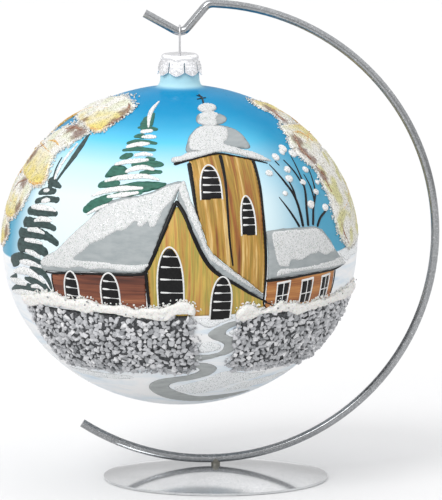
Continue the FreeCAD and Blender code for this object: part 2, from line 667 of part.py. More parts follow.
def relief(name, outlines, layer):
    """A raised piece, or a group of them: the parts of a layer inside the given outlines."""
    prisms = []
    for index, outline in enumerate(outlines):
        middle = sum(longitude for longitude, _ in outline) / len(outline)
        prisms.append(prism(f"{name}_{index}", follow_ball(outline, middle), middle))
    tool = prisms[0]
    if len(prisms) > 1:
        tool = doc.addObject("Part::MultiFuse", f"{name}_prisms")
        tool.Shapes = prisms
    item = doc.addObject("Part::Common", name)
    item.Base = layer
    item.Tool = tool
    place_on_ball(item)
    return item


def layer_shell(name, lift, thickness, low=-63.0, high=64.5):
    """A whole layer round the ball, which the raised pieces are cut from."""
    return turned(f"{name}_layer", relief_band(f"{name}_layer_section", lift, thickness, low, high))


def arched_outline(longitude, sill, half_width, height):
    """A round-headed window as an outline in longitude and height."""
    spring = sill + height - half_width * math.radians(size("ball_radius"))
    rise = sill + height - spring
    turns = [math.radians(angle) for angle in range(0, 181, 30)]
    arch = [(longitude + half_width * math.cos(turn), spring + rise * math.sin(turn)) for turn in turns]
    return [(longitude + half_width, sill)] + arch + [(longitude - half_width, sill)]


def square_outline(longitude, sill, half_width, height):
    """A square-headed window as an outline in longitude and height."""
    return [(longitude + half_width, sill), (longitude + half_width, sill + height),
            (longitude - half_width, sill + height), (longitude - half_width, sill)]


def petal_outline(longitude, height, half_length, half_width, tilt):
    """An oval petal lying on the ball, as an outline in longitude and height."""
    lean = math.radians(tilt)
    outline = []
    for k in range(12):
        turn = math.radians(30 * k)
        along, across = half_length * math.cos(turn), half_width * math.sin(turn)
        level = height + along * math.sin(lean) + across * math.cos(lean)
        sideways = along * math.cos(lean) - across * math.sin(lean)
        outline.append((longitude + math.degrees(sideways / ball_radius_at(height)), level))
    return outline


def decoration():
    """Every raised piece on the ball."""
    gap = size("relief_gap")
    paint = layer_shell("paint", gap, size("paint_thickness"))
    window = layer_shell("window", size("window_lift"), size("window_thickness"))
    snow = layer_shell("snow", gap, size("snow_thickness"))
    petal = layer_shell("petal", gap, size("petal_relief_thickness"))
    pieces = [
        wall_sector("stone_wall_left", "relief_gap", "stone_thickness", "wall_bottom", "wall_top",
                    "Sizes.wall_left_end", "Sizes.gate_left - Sizes.wall_left_end"),
        wall_sector("stone_wall_right", "relief_gap", "stone_thickness", "wall_bottom", "wall_top",
                    "Sizes.gate_right", "Sizes.wall_right_end - Sizes.gate_right"),
        wall_sector("snow_ridge_left", "relief_gap", "snow_ridge_thickness", "ridge_bottom", "ridge_top",
                    "Sizes.wall_left_end - 3", "Sizes.gate_left + 3 - Sizes.wall_left_end"),
        wall_sector("snow_ridge_right", "relief_gap", "snow_ridge_thickness", "ridge_bottom", "ridge_top",
                    "Sizes.gate_right - 2", "Sizes.wall_right_end + 4 - Sizes.gate_right"),
    ]
    painted = {"nave_wall": NAVE_WALL, "gable_wall": GABLE_WALL, "tower_wall": TOWER_WALL,
               "wing_wall": WING_WALL, "fir_tree_centre": FIR_CENTRE, "fir_tree_left": FIR_LEFT,
               "garden_path": GARDEN_PATH}
    snowy = {"nave_roof": NAVE_ROOF, "gable_eave": GABLE_EAVE, "tower_roof": TOWER_ROOF,
             "wing_roof": WING_ROOF}
    pieces += [relief(name, [outline], paint) for name, outline in painted.items()]
    pieces += [relief(name, [outline], snow) for name, outline in snowy.items()]
    windows = [arched_outline(*row) for row in ARCHED_WINDOWS]
    windows += [square_outline(*row) for row in SQUARE_WINDOWS]
    pieces.append(relief("church_windows", windows, window))
    pieces.append(relief("glitter_petals_left", [petal_outline(*row) for row in PETALS_LEFT], petal))
    pieces.append(relief("glitter_petals_right", [petal_outline(*row) for row in PETALS_RIGHT], petal))
    return pieces


def check_and_export(pieces):
    """Stops on any failed object or bad shape, then writes one STEP file to each sub-part."""
    failed = [item.Name for item in doc.Objects if {"Invalid", "Error"} & set(item.State)]
    if failed:
        raise SystemExit(f"failed objects: {failed}")
    for item in pieces:
        if item.Shape.isNull() or not item.Shape.isValid() or not item.Shape.Solids:
            raise SystemExit(f"{item.Label} has no valid solid")
    os.makedirs("parts", exist_ok=True)
    for item in pieces:
        item.Shape.exportStep(f"parts/{item.Label}.step")
        solids = len(item.Shape.Solids)
        print(f"{item.Label}: {solids} solid(s), {item.Shape.Volume:.1f} mm3")


def main():
    hoop = hoop_wire()
    pieces = [
        base_dome(),
        hoop,
        hoop_stud(hoop),
        ring_body("base_washer", "Sizes.washer_radius", "Sizes.base_hole_radius", WASHER_BOTTOM,
                  "Sizes.washer_thickness"),
        base_nut(),
        glass_ball(),
        ornament_cap(),
        hanger_wire(),
    ]
    pieces += decoration()
    for item in pieces:
        item.Label = item.Name
    doc.recompute()
    check_and_export(pieces)


main()
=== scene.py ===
"""Looks for the hanging bauble: a glass ball with a raised winter scene, its cap and its wire stand.

Places on the ball are (longitude, height): degrees from -Y towards +X, and millimetres above the ball's
centre. Everything is built in millimetres and handed to Blender in metres, in the CAD frame.
"""

import math

import bpy
import numpy as np
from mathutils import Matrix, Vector, geometry, noise


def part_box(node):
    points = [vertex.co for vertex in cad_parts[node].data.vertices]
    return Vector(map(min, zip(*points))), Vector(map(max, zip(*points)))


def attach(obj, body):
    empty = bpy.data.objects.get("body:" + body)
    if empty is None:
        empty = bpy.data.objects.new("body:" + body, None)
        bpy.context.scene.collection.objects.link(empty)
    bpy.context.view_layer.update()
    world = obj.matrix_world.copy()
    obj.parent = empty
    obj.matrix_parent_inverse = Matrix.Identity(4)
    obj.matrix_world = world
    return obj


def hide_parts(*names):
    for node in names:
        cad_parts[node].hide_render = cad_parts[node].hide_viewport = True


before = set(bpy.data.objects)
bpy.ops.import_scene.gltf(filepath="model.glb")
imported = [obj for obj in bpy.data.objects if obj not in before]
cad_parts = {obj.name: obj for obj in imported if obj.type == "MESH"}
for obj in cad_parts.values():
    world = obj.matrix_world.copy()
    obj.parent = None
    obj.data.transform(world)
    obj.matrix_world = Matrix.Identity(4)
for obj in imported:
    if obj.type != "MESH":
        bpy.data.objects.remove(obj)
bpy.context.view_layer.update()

MM = 0.001
ball_low, ball_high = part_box("glass_ball")
cap_low, cap_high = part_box("ornament_cap")
dome_low, dome_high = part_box("base_dome")
CENTRE = np.array([(ball_low.x + ball_high.x) / 2 / MM, 0.0, 100.1])   # the ball's centre
RADIUS, HALF_HEIGHT = 75.0, 67.7      # the ball's radius and half height
DEGREES_PER_MM = math.degrees(1.0 / RADIUS)   # of longitude, on the ball's widest ring
TINY = 1e-12                          # keeps a division from going wrong
TURN = 0.45                           # the whole scene is turned a little on the ball
HIDDEN = 0.22                         # how far a raised piece's underside is sunk in the glass
LEVEL = 0.80                          # how much darker the paints are than they look under the bright studio
random = np.random.default_rng(20)


# ---------------------------------------------------------------- the ball's surface

def radius_at(height):
    """The radius of the ball's ring at a height."""
    return RADIUS * np.sqrt(np.clip(1.0 - (np.asarray(height) / HALF_HEIGHT) ** 2, 1e-6, 1.0))


HEIGHTS = HALF_HEIGHT * np.sin(np.linspace(-math.pi / 2, math.pi / 2, 1501))
ARCS = np.concatenate([[0.0], np.cumsum(np.hypot(np.diff(radius_at(HEIGHTS)), np.diff(HEIGHTS)))])
ARCS -= np.interp(0.0, HEIGHTS, ARCS)


def to_flat(places, middle):
    """Longitude and height to millimetres along the surface: across from a middle longitude, and up."""
    places = np.asarray(places, float)
    return np.stack([np.radians(places[:, 0] - middle) * radius_at(places[:, 1]),
                     np.interp(places[:, 1], HEIGHTS, ARCS)], 1)


def from_flat(flat, middle):
    """The reverse of to_flat."""
    height = np.interp(flat[:, 1], ARCS, HEIGHTS)
    return np.stack([middle + np.degrees(flat[:, 0] / radius_at(height)), height], 1)


def on_ball(places, lift):
    """Points in millimetres, in the CAD frame, at a lift above the glass."""
    places = np.asarray(places, float)
    turn, height = np.radians(places[:, 0] + TURN), places[:, 1]
    ring = radius_at(height)
    points = np.stack([ring * np.sin(turn), -ring * np.cos(turn), height], 1)
    normals = points / np.array([RADIUS ** 2, RADIUS ** 2, HALF_HEIGHT ** 2])
    normals /= np.linalg.norm(normals, axis=1)[:, None]
    return CENTRE + points + normals * np.asarray(lift)[:, None]


def ripple(flat, size, seed):
    """Smooth noise from -1 to 1 over flat places, with features of the given size in millimetres."""
    return np.array([noise.noise(Vector((u / size, v / size, seed * 7.3))) for u, v in flat])


def smooth_step(low, high, value):
    """Rises from 0 at low to 1 at high, level at both ends."""
    share = np.clip((np.asarray(value, float) - low) / (high - low), 0.0, 1.0)
    return share * share * (3 - 2 * share)


# ---------------------------------------------------------------- meshes

class Piece:
    """Collects raised bits that share a material into one mesh that rides on a body."""

    def __init__(self, name):
        self.name = name
        self.points, self.faces, self.flat, self.tone, self.paint = [], [], [], [], []
        self.count = 0

    def add(self, points, faces, flat=None, tone=0.5, paint=(1.0, 1.0, 1.0)):
        number = len(points)
        self.points.append(np.asarray(points, float))
        self.faces += [tuple(int(i) + self.count for i in face) for face in faces]
        self.flat.append(np.zeros((number, 2)) if flat is None else np.asarray(flat, float))
        self.tone.append(np.broadcast_to(np.asarray(tone, float), (number,)))
        self.paint.append(np.broadcast_to(np.asarray(paint, float), (number, 3)))
        self.count += number

    def finish(self, material, slot, replaces=(), body="ball", smooth=True):
        """Makes the mesh, with its places, tones and paints as attributes, and hands it to its body."""
        mesh = bpy.data.meshes.new(self.name)
        points = np.concatenate(self.points) * MM
        mesh.from_pydata([tuple(p) for p in points], [], self.faces)
        flat, tone = np.concatenate(self.flat), np.concatenate(self.tone)
        paint = np.concatenate(self.paint)
        place = mesh.attributes.new("place", "FLOAT_VECTOR", "POINT")
        place.data.foreach_set("vector", np.column_stack([flat, np.zeros(len(flat))]).ravel())
        mesh.attributes.new("tone", "FLOAT", "POINT").data.foreach_set("value", tone)
        colour = mesh.attributes.new("paint", "FLOAT_COLOR", "POINT")
        colour.data.foreach_set("color", np.column_stack([paint, np.ones(len(paint))]).ravel())
        mesh.polygons.foreach_set("use_smooth", [smooth] * len(mesh.polygons))
        mesh.materials.append(material)
        mesh.update()
        piece = bpy.data.objects.new(self.name, mesh)
        bpy.context.scene.collection.objects.link(piece)
        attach(piece, body)
        if replaces:
            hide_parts(*replaces)
        return piece


def curve_through(points, step, closed=False):
    """A smooth curve through flat points, as points about a step apart."""
    points = np.asarray(points, float)
    count = len(points)
    runs = []
    for k in range(count if closed else count - 1):
        if closed:
            before, here, there, after = (points[(k + j) % count] for j in (-1, 0, 1, 2))
        else:
            before, here, there, after = (points[min(max(k + j, 0), count - 1)] for j in (-1, 0, 1, 2))
        number = max(1, int(round(np.linalg.norm(there - here) / step)))
        t = (np.arange(number) / number)[:, None]
        runs.append(0.5 * (2 * here + (there - before) * t
                           + (2 * before - 5 * here + 4 * there - after) * t ** 2
                           + (3 * here - before - 3 * there + after) * t ** 3))
    if not closed:
        runs.append(points[-1:])
    return np.concatenate(runs)


def straight_through(points, step):
    """The sides of a closed outline, divided about a step apart."""
    points = np.asarray(points, float)
    runs = []
    for here, there in zip(points, np.roll(points, -1, axis=0)):
        number = max(1, int(round(np.linalg.norm(there - here) / step)))
        t = (np.arange(number) / number)[:, None]
        runs.append(here + (there - here) * t)
    return np.concatenate(runs)


def side_distances(points, outline):
    """Distance of each point to a closed outline, and whether it is inside."""
    a, b = outline, np.roll(outline, -1, axis=0)
    side = b - a
    length = np.maximum((side ** 2).sum(1), TINY)
    rise = np.where(np.abs(side[:, 1]) < TINY, TINY, side[:, 1])
    chunk = 400                        # points at a time, to keep the arrays small
    distances, inside = np.empty(len(points)), np.zeros(len(points), bool)
    for start in range(0, len(points), chunk):
        some = slice(start, start + chunk)
        p = points[some, None, :]
        along = np.clip(((p - a) * side).sum(2) / length, 0, 1)
        near = a + along[..., None] * side
        distances[some] = np.sqrt(((p - near) ** 2).sum(2)).min(1)
        crosses = (a[:, 1] > p[..., 1]) != (b[:, 1] > p[..., 1])
        reach = a[:, 0] + (p[..., 1] - a[:, 1]) / rise * side[:, 0]
        inside[some] = (crosses & (p[..., 0] < reach)).sum(1) % 2 == 1
    return distances, inside


def fill(outline, grid):
    """Triangles over a closed flat outline: (points, faces, distance to the outline)."""
    low, high = outline.min(0), outline.max(0)
    row_step = 0.866                   # of the grid, so that its triangles are even
    rows = np.arange(low[1] + grid / 2, high[1], grid * row_step)
    inner = []
    for number, row in enumerate(rows):
        across = np.arange(low[0] + grid * (0.25 + 0.5 * (number % 2)), high[0], grid)
        inner.append(np.column_stack([across, np.full(len(across), row)]))
    inner = np.concatenate(inner) if inner else np.zeros((0, 2))
    if len(inner):
        distance, inside = side_distances(inner, outline)
        inner = inner[inside & (distance > grid * 0.45)]
    everything = np.concatenate([outline, inner])
    edges = [(k, (k + 1) % len(outline)) for k in range(len(outline))]
    made = geometry.delaunay_2d_cdt([Vector(p) for p in everything], edges, [list(range(len(outline)))],
                                    1, 1e-7)
    points = np.array([tuple(p) for p in made[0]])
    faces = [tuple(face) for face in made[2]]
    distance, _ = side_distances(points, outline)
    return points, faces, distance


def facing_up(face, flat):
    """A face's corners in the order that turns its front away from the ball."""
    a, b, c = flat[list(face)][:3]
    turn = (b[0] - a[0]) * (c[1] - a[1]) - (b[1] - a[1]) * (c[0] - a[0])
    return face if turn > 0 else face[::-1]


def ring_faces(rings, size):
    """The four-sided faces between closed rings of the same number of points."""
    faces = []
    for row in range(rings - 1):
        for k in range(size):
            a, b = row * size + k, row * size + (k + 1) % size
            faces.append((a, a + size, b + size, b))
    return faces


def shell(piece, places, faces, distance, flat, lift, height, paint):
    """A closed solid: a top that stands off the glass and an underside sunk in it, joined at the rim."""
    on_rim, rim_lift = 1e-5, -0.03
    rim = distance < on_rim
    number = len(places)
    below = np.arange(number)
    below[~rim] = number + np.arange((~rim).sum())
    lifts = np.where(rim, rim_lift, lift + height)
    points = np.concatenate([on_ball(places, lifts), on_ball(places[~rim], np.full((~rim).sum(), -HIDDEN))])
    # a face with all its corners on the rim has no thickness and would stand on its own
    oriented = [facing_up(face, flat) for face in faces if not rim[list(face)].all()]
    under = [tuple(below[i] for i in face[::-1]) for face in oriented]
    paint = np.broadcast_to(np.asarray(paint, float), (number, 3))
    piece.add(points, oriented + under, np.concatenate([flat, flat[~rim]]),
              paint=np.concatenate([paint, paint[~rim]]))


def patch(piece, outline, thickness, lift=0.04, edge=0.5, grid=1.1, step=0.7, corners=False, wobble=0.12,
          lumps=0.0, lump_size=1.6, seed=1, colour=None):
    """A raised area of paint or paste inside an outline of (longitude, height) places.

    The rim rounds off over the edge width, wobbles by up to the wobble, and the top has lumps of a size.
    """
    middle = float(np.mean([p[0] for p in outline]))
    flat = to_flat(outline, middle)
    rim = straight_through(flat, step) if corners else curve_through(flat, step, closed=True)
    if wobble:
        wave = 2.6                     # millimetres from one bulge of the rim to the next
        shift = np.stack([ripple(rim, wave, seed), ripple(rim, wave, seed + 3)], 1)
        rim = rim + shift * wobble
    points, faces, distance = fill(rim, grid)
    share = np.clip(distance / edge, 0, 1)
    height = thickness * np.sqrt(np.maximum(0, 1 - (1 - share) ** 2))
    if lumps:
        bumps = ripple(points, lump_size, seed + 5) + 0.6 * ripple(points, lump_size * 0.45, seed + 9)
        height = height + lumps * bumps * share
    places = from_flat(points, middle)
    paint = (1, 1, 1) if colour is None else colour(places, points, distance)
    thinnest = 0.02
    shell(piece, places, faces, distance, points, lift, np.maximum(height, thinnest), paint)
    piece.flat[-1][:, 0] += math.radians(middle) * RADIUS


STROKE_STEP = 0.45                     # millimetres between the rings of a brush stroke
STROKE_ACROSS = (-1.0, -0.72, 0.0, 0.72, 1.0)   # where a ring has its points, as shares of the half width


def stroke(piece, places, width, thickness, lift=0.03, ragged=0.06, seed=1):
    """A raised brush line along places, with widths in millimetres at even shares of its length."""
    middle = float(np.mean([p[0] for p in places]))
    line = curve_through(to_flat(places, middle), STROKE_STEP)
    if len(line) < 3:
        line = np.stack([line[0], (line[0] + line[-1]) / 2, line[-1]])
    gaps = np.linalg.norm(np.diff(line, axis=0), axis=1)
    along = np.concatenate([[0.0], np.cumsum(gaps)])
    total = along[-1]
    widths = np.atleast_1d(np.asarray(width, float))
    if len(widths) > 1:
        widths = np.interp(along / total, np.linspace(0, 1, len(widths)), widths)
    else:
        widths = np.full(len(line), widths[0])
    ahead = np.gradient(line, axis=0)
    ahead /= np.maximum(np.linalg.norm(ahead, axis=1), 1e-9)[:, None]
    side = np.stack([-ahead[:, 1], ahead[:, 0]], 1)
    half = widths / 2
    room = np.minimum(along, total - along)
    rounding = np.clip(room / np.maximum(half, 1e-6), 0.0, 1.0)
    bluntness = 0.06                   # keeps the ends from coming to a point
    half = half * np.sqrt(np.maximum(bluntness, 1 - (1 - rounding) ** 2))
    half = half * (1 + ragged * ripple(line, 1.3, seed))
    rings, heights = [], []
    for share in STROKE_ACROSS:
        rings.append(line + side * (half * share)[:, None])
        round_top = np.sqrt(max(0.0, 1 - share * share))
        heights.append(lift + thickness * round_top * np.minimum(1, half / half.max() + 0.2))
    rings.append(line)
    heights.append(np.full(len(line), -HIDDEN))
    heights[0] = heights[len(STROKE_ACROSS) - 1] = np.full(len(line), -0.02)
    ring_size = len(rings)
    flat = np.stack(rings, 1).reshape(-1, 2)
    lifts = np.stack(heights, 1).reshape(-1)
    faces = ring_faces(len(line), ring_size)
    last = (len(line) - 1) * ring_size
    faces.append(tuple(range(ring_size)))
    faces.append(tuple(last + k for k in reversed(range(ring_size))))
    points = on_ball(from_flat(flat, middle), lifts)
    flat = flat + np.array([math.radians(middle) * RADIUS, 0.0])
    piece.add(points, faces, flat)


# ---------------------------------------------------------------- materials

def srgb(red, green, blue):
    """The albedo that shows as a display colour, 0 to 255, under the studio's light."""
    return tuple(LEVEL * (((c / 255 + 0.055) / 1.055) ** 2.4 if c > 10 else max(0, c) / 255 / 12.92)
                 for c in (red, green, blue))


class Nodes:
    """A short way to write a material's node tree around its Principled shader."""

    def __init__(self, name, **settings):
        self.material = bpy.data.materials.new(name)
        self.material.use_nodes = True
        self.tree = self.material.node_tree
        self.shader = self.tree.nodes["Principled BSDF"]
        self.place = self.tree.nodes.new("ShaderNodeTexCoord").outputs["Object"]
        for key, value in settings.items():
            self.put(key.replace("_", " "), value)

    def put(self, socket, value, node=None):
        target = (node or self.shader).inputs[socket]
        if isinstance(value, bpy.types.NodeSocket):
            self.tree.links.new(value, target)
        elif isinstance(value, tuple) and len(value) == 3 and target.type == "RGBA":
            target.default_value = (*value, 1.0)
        else:
            target.default_value = value

    def node(self, kind, inputs=(), **properties):
        made = self.tree.nodes.new("ShaderNode" + kind)
        for key, value in properties.items():
            setattr(made, key, value)
        for socket, value in dict(inputs).items():
            self.put(socket, value, made)
        return made

    def stretched(self, source, scale):
        return self.node("Mapping", {"Vector": source, "Scale": scale}).outputs["Vector"]

    def noise(self, scale, detail=2.0, roughness=0.5, source=None, distortion=0.0):
        inputs = {"Vector": source or self.place, "Scale": scale, "Detail": detail, "Roughness": roughness,
                  "Distortion": distortion}
        return self.node("TexNoise", inputs).outputs["Fac"]

    def cells(self, scale, output="Color"):
        return self.node("TexVoronoi", {"Vector": self.place, "Scale": scale}).outputs[output]

    def attribute(self, name, output="Color"):
        return self.node("Attribute", attribute_name=name).outputs[output]

    def ramp(self, share, stops):
        made = self.node("ValToRGB", {"Fac": share})
        points = made.color_ramp.elements
        while len(points) < len(stops):
            points.new(0.5)
        for point, (position, colour) in zip(points, stops):
            point.position = position
            point.color = (*colour, 1.0) if isinstance(colour, tuple) else (colour, colour, colour, 1.0)
        return made.outputs["Color"]

    def mix(self, share, first, second, blend="MIX"):
        made = self.node("Mix", data_type="RGBA", blend_type=blend)
        for index, value in ((0, share), (6, first), (7, second)):
            if isinstance(value, bpy.types.NodeSocket):
                self.tree.links.new(value, made.inputs[index])
            elif isinstance(value, tuple):
                made.inputs[index].default_value = (*value, 1.0)
            else:
                made.inputs[index].default_value = value
        return made.outputs[2]

    def math(self, operation, first, second=0.0):
        made = self.node("Math", operation=operation)
        for index, value in enumerate((first, second)):
            if isinstance(value, bpy.types.NodeSocket):
                self.tree.links.new(value, made.inputs[index])
            else:
                made.inputs[index].default_value = value
        return made.outputs[0]

    def linear(self, value, factor, offset):
        return self.math("ADD", self.math("MULTIPLY", value, factor), offset)

    def bump(self, height, strength, distance):
        """Bumps whose depth is given in millimetres."""
        made = self.node("Bump", {"Height": height, "Strength": strength, "Distance": distance * MM})
        self.put("Normal", made.outputs["Normal"])


def per_mm(size):
    """The texture scale whose features are about this many millimetres."""
    return 1.0 / (size * MM)


def silver_lacquer(name, base, rough):
    """Metallic stove lacquer with a fine aluminium sparkle."""
    m = Nodes(name, Metallic=0.92, Coat_Weight=0.25, Coat_Roughness=0.12)
    flakes = m.cells(per_mm(0.32))
    grain = m.ramp(flakes, [(0.0, srgb(*(c - 26 for c in base))), (0.55, srgb(*base)),
                            (0.86, srgb(*(min(255, c + 26) for c in base))), (1.0, (0.93, 0.93, 0.93))])
    clouds = m.ramp(m.noise(per_mm(14.0), 3.0), [(0.3, 0.86), (0.7, 1.0)])
    m.put("Base Color", m.mix(1.0, grain, clouds, "MULTIPLY"))
    m.put("Roughness", m.linear(m.noise(per_mm(0.5), 2.0), 0.10, rough))
    m.bump(m.noise(per_mm(0.45), 3.0, 0.7), 0.18, 0.02)
    return m.material


def plated_steel():
    m = Nodes("zinc_plate", Metallic=1.0)
    tint = m.ramp(m.noise(per_mm(1.5), 4.0), [(0.3, srgb(120, 118, 110)), (0.7, srgb(176, 174, 164))])
    m.put("Base Color", tint)
    m.put("Roughness", m.linear(m.noise(per_mm(0.6), 3.0), 0.25, 0.25))
    m.bump(m.noise(per_mm(0.3), 2.0), 0.2, 0.02)
    return m.material


def spring_steel():
    m = Nodes("spring_steel", Metallic=1.0)
    drawn = m.stretched(m.place, (1.0, 1.0, 0.06))
    m.put("Base Color", m.ramp(m.noise(per_mm(0.25), 3.0, source=drawn),
                               [(0.3, srgb(196, 196, 198)), (0.7, srgb(236, 236, 238))]))
    m.put("Roughness", m.linear(m.noise(per_mm(0.4), 2.0, source=drawn), 0.2, 0.18))
    m.bump(m.noise(per_mm(0.2), 2.0, source=drawn), 0.2, 0.01)
    return m.material


def cap_foil():
    m = Nodes("cap_foil", Metallic=0.8)
    m.put("Base Color", m.ramp(m.noise(per_mm(2.2), 3.0), [(0.3, (0.92, 0.92, 0.94)), (0.7, (0.99, 0.99, 1.0))]))
    m.put("Roughness", m.linear(m.noise(per_mm(0.7), 2.0), 0.14, 0.12))
    m.bump(m.noise(per_mm(0.5), 3.0), 0.25, 0.03)
    return m.material


def ball_lacquer():
    """Pearly sky lacquer over the glass, with brushed snow below the horizon."""
    m = Nodes("ball_lacquer", Coat_Weight=0.06, Coat_Roughness=0.16, Specular_IOR_Level=0.02)
    streaks = m.stretched(m.place, (35.0, 35.0, 220.0))
    drift = m.noise(1.0, 4.0, 0.55, source=streaks, distortion=0.6)
    snow = m.ramp(drift, [(0.30, srgb(214, 230, 244)), (0.46, srgb(240, 247, 252)), (0.62, srgb(255, 255, 255))])
    haze = m.noise(per_mm(9.0), 3.0)
    sky = m.mix(m.ramp(haze, [(0.4, 0.0), (0.85, 0.02)]), m.attribute("paint"), srgb(235, 250, 255))
    above = m.ramp(m.linear(m.attribute("tone", "Fac"), 1.2, 0.5),
                   [(0.35, 0.0), (0.65, 1.0)])
    m.put("Base Color", m.mix(above, snow, sky))
    m.put("Roughness", m.linear(m.noise(per_mm(1.1), 3.0), 0.12, 0.24))
    m.bump(m.noise(per_mm(1.4), 3.0), 0.12, 0.03)
    return m.material


def planks(name, stops, upright, plank, gaps):
    """Brushed wood: streaks along the boards in several browns, with thin darker joints."""
    m = Nodes(name, Specular_IOR_Level=0.4)
    place = m.attribute("place", "Vector")
    along = 0.045                      # how much slower the streaks change along a board than across it
    stretch = (1.0, along, 1.0) if upright else (along, 1.0, 1.0)
    broad = m.noise(0.42, 2.0, 0.5, source=m.stretched(place, stretch), distortion=0.3)
    fine = m.noise(2.1, 3.0, 0.6, source=m.stretched(place, stretch))
    colour = m.ramp(m.math("ADD", m.math("MULTIPLY", broad, 0.8), m.math("MULTIPLY", fine, 0.2)), stops)
    colour = m.mix(0.5, colour, m.ramp(fine, [(0.25, 0.55), (0.6, 1.0), (0.8, 1.15)]), "MULTIPLY")
    axis = 0 if upright else 1
    across = m.node("SeparateXYZ", {"Vector": place}).outputs[axis]
    wave = m.math("PINGPONG", m.math("ADD", across, m.math("MULTIPLY", broad, 0.8)), plank / 2)
    joint = m.ramp(m.math("DIVIDE", wave, plank / 2), [(0.0, 1.0 - gaps), (0.10, 1.0)])
    m.put("Base Color", m.mix(1.0, colour, joint, "MULTIPLY"))
    m.put("Roughness", m.linear(fine, 0.2, 0.38))
    m.bump(m.math("ADD", fine, m.math("MULTIPLY", joint, 0.6)), 0.5, 0.08)
    return m.material


def ink():
    m = Nodes("black_enamel", Specular_IOR_Level=0.22)
    m.put("Base Color", m.ramp(m.noise(per_mm(1.0), 3.0), [(0.3, srgb(4, 4, 5)), (0.75, srgb(22, 22, 24))]))
    m.put("Roughness", m.linear(m.noise(per_mm(0.7), 2.0), 0.25, 0.25))
    m.bump(m.noise(per_mm(0.6), 2.0), 0.2, 0.04)
    return m.material


def brushed_paint(name, low, high, size=1.0, rough=0.45):
    """Opaque paint with the marks of the brush along each stroke."""
    m = Nodes(name, Specular_IOR_Level=0.4)
    place = m.stretched(m.attribute("place", "Vector"), (0.35, 1.0, 1.0))
    marks = m.noise(1.0 / size, 3.0, 0.6, source=place)
    m.put("Base Color", m.ramp(marks, [(0.32, srgb(*low)), (0.62, srgb(*high))]))
    m.put("Roughness", m.linear(marks, 0.2, rough))
    m.bump(marks, 0.35, 0.06)
    return m.material


def glitter(name, low, high, speck, grain, depth, own_colour=False, speck_share=0.12):
    """Relief paste set with fine glitter: pale grains and a share of darker specks, some of them shiny."""
    m = Nodes(name, Specular_IOR_Level=0.6)
    grains = m.cells(per_mm(grain))
    pick = m.node("SeparateColor", {"Color": grains}).outputs
    pale = m.ramp(pick[0], [(0.0, srgb(*low)), (0.35, srgb(*high)), (1.0, srgb(*high))])
    if own_colour:
        shade = m.ramp(pick[0], [(0.0, 0.74), (0.4, 0.98), (1.0, 1.14)])
        pale = m.mix(1.0, m.attribute("paint"), shade, "MULTIPLY")
    dark = m.ramp(pick[1], [(1.0 - speck_share - 0.03, 0.0), (1.0 - speck_share, 1.0)])
    tint = m.mix(0.10, srgb(*speck), grains)
    colour = m.mix(m.math("MULTIPLY", dark, 0.75), pale, tint)
    m.put("Base Color", colour)
    m.put("Roughness", m.ramp(pick[2], [(0.0, 0.55), (0.8, 0.5), (0.9, 0.16)]))
    m.put("Metallic", m.ramp(pick[2], [(0.9, 0.0), (0.93, 0.55)]))
    near = m.cells(per_mm(grain), output="Distance")
    m.bump(m.math("ADD", near, m.math("MULTIPLY", m.noise(per_mm(1.6), 3.0), 1.3)), 0.9, depth)
    return m.material


def crushed_stone():
    m = Nodes("crushed_stone", Specular_IOR_Level=0.6)
    tone = m.attribute("tone", "Fac")
    grain = m.noise(per_mm(0.55), 3.0, 0.6)
    base = m.ramp(tone, [(0.0, srgb(120, 122, 126)), (0.35, srgb(180, 182, 185)), (0.75, srgb(222, 223, 226)),
                         (1.0, srgb(252, 252, 253))])
    m.put("Base Color", m.mix(0.6, base, m.ramp(grain, [(0.3, 0.6), (0.65, 1.1)]), "MULTIPLY"))
    m.put("Roughness", m.linear(grain, 0.25, 0.32))
    m.put("Metallic", 0.15)
    m.bump(grain, 0.6, 0.12)
    return m.material


# Dark grey paste under the chips: painted shade that stands in for the shadowed crevices between them.
def crevice_shade_bed():
    m = Nodes("crevice_shade_bed", Specular_IOR_Level=0.3)
    grain = m.noise(per_mm(0.8), 3.0)
    m.put("Base Color", m.ramp(grain, [(0.3, srgb(44, 45, 47)), (0.7, srgb(98, 100, 103))]))
    m.put("Roughness", m.linear(grain, 0.2, 0.6))
    m.bump(grain, 0.8, 0.3)
    return m.material


def snow_paste():
    m = Nodes("snow_paste", Specular_IOR_Level=0.5, Subsurface_Weight=0.06, Subsurface_Scale=0.002)
    grain = m.noise(per_mm(0.7), 4.0, 0.65)
    m.put("Base Color", m.ramp(grain, [(0.26, srgb(168, 164, 156)), (0.36, srgb(226, 224, 218)),
                                       (0.5, srgb(248, 247, 243))]))
    m.put("Roughness", m.linear(grain, 0.3, 0.4))
    m.bump(grain, 0.8, 0.22)
    return m.material


def pale_floor():
    m = Nodes("pale_floor", Roughness=0.9, Specular_IOR_Level=0.1)
    m.put("Base Color", m.ramp(m.noise(0.6, 2.0), [(0.3, srgb(246, 246, 246)), (0.7, srgb(250, 250, 250))]))
    return m.material


BLACK = ink()
WHITE_LINE = brushed_paint("white_enamel", (222, 224, 224), (250, 250, 248), 1.2, 0.4)
ROOF_GREY = brushed_paint("roof_grey", (154, 162, 164), (172, 178, 179), 2.6, 0.5)
PATH_GREY = brushed_paint("path_grey", (162, 166, 166), (180, 184, 183), 2.2, 0.5)
FIR_GREEN = brushed_paint("fir_green", (22, 84, 68), (52, 116, 98), 0.9)
FIR_GREY = brushed_paint("fir_grey", (26, 46, 46), (62, 84, 82), 0.9)
FIR_SNOW = glitter("fir_snow", (214, 216, 220), (250, 249, 248), (150, 156, 156), 0.36, 0.10)
ROOF_SNOW = glitter("roof_snow", (200, 203, 203), (229, 230, 230), (150, 155, 154), 0.34, 0.13,
                    speck_share=0.08)
GROUND_SNOW = glitter("ground_snow", (222, 226, 228), (248, 250, 251), (176, 182, 184), 0.34, 0.10,
                      speck_share=0.05)
PETAL_GLITTER = glitter("petal_glitter", (220, 220, 210), (250, 250, 245), (150, 112, 78), 0.44, 0.26,
                        own_colour=True, speck_share=0.10)
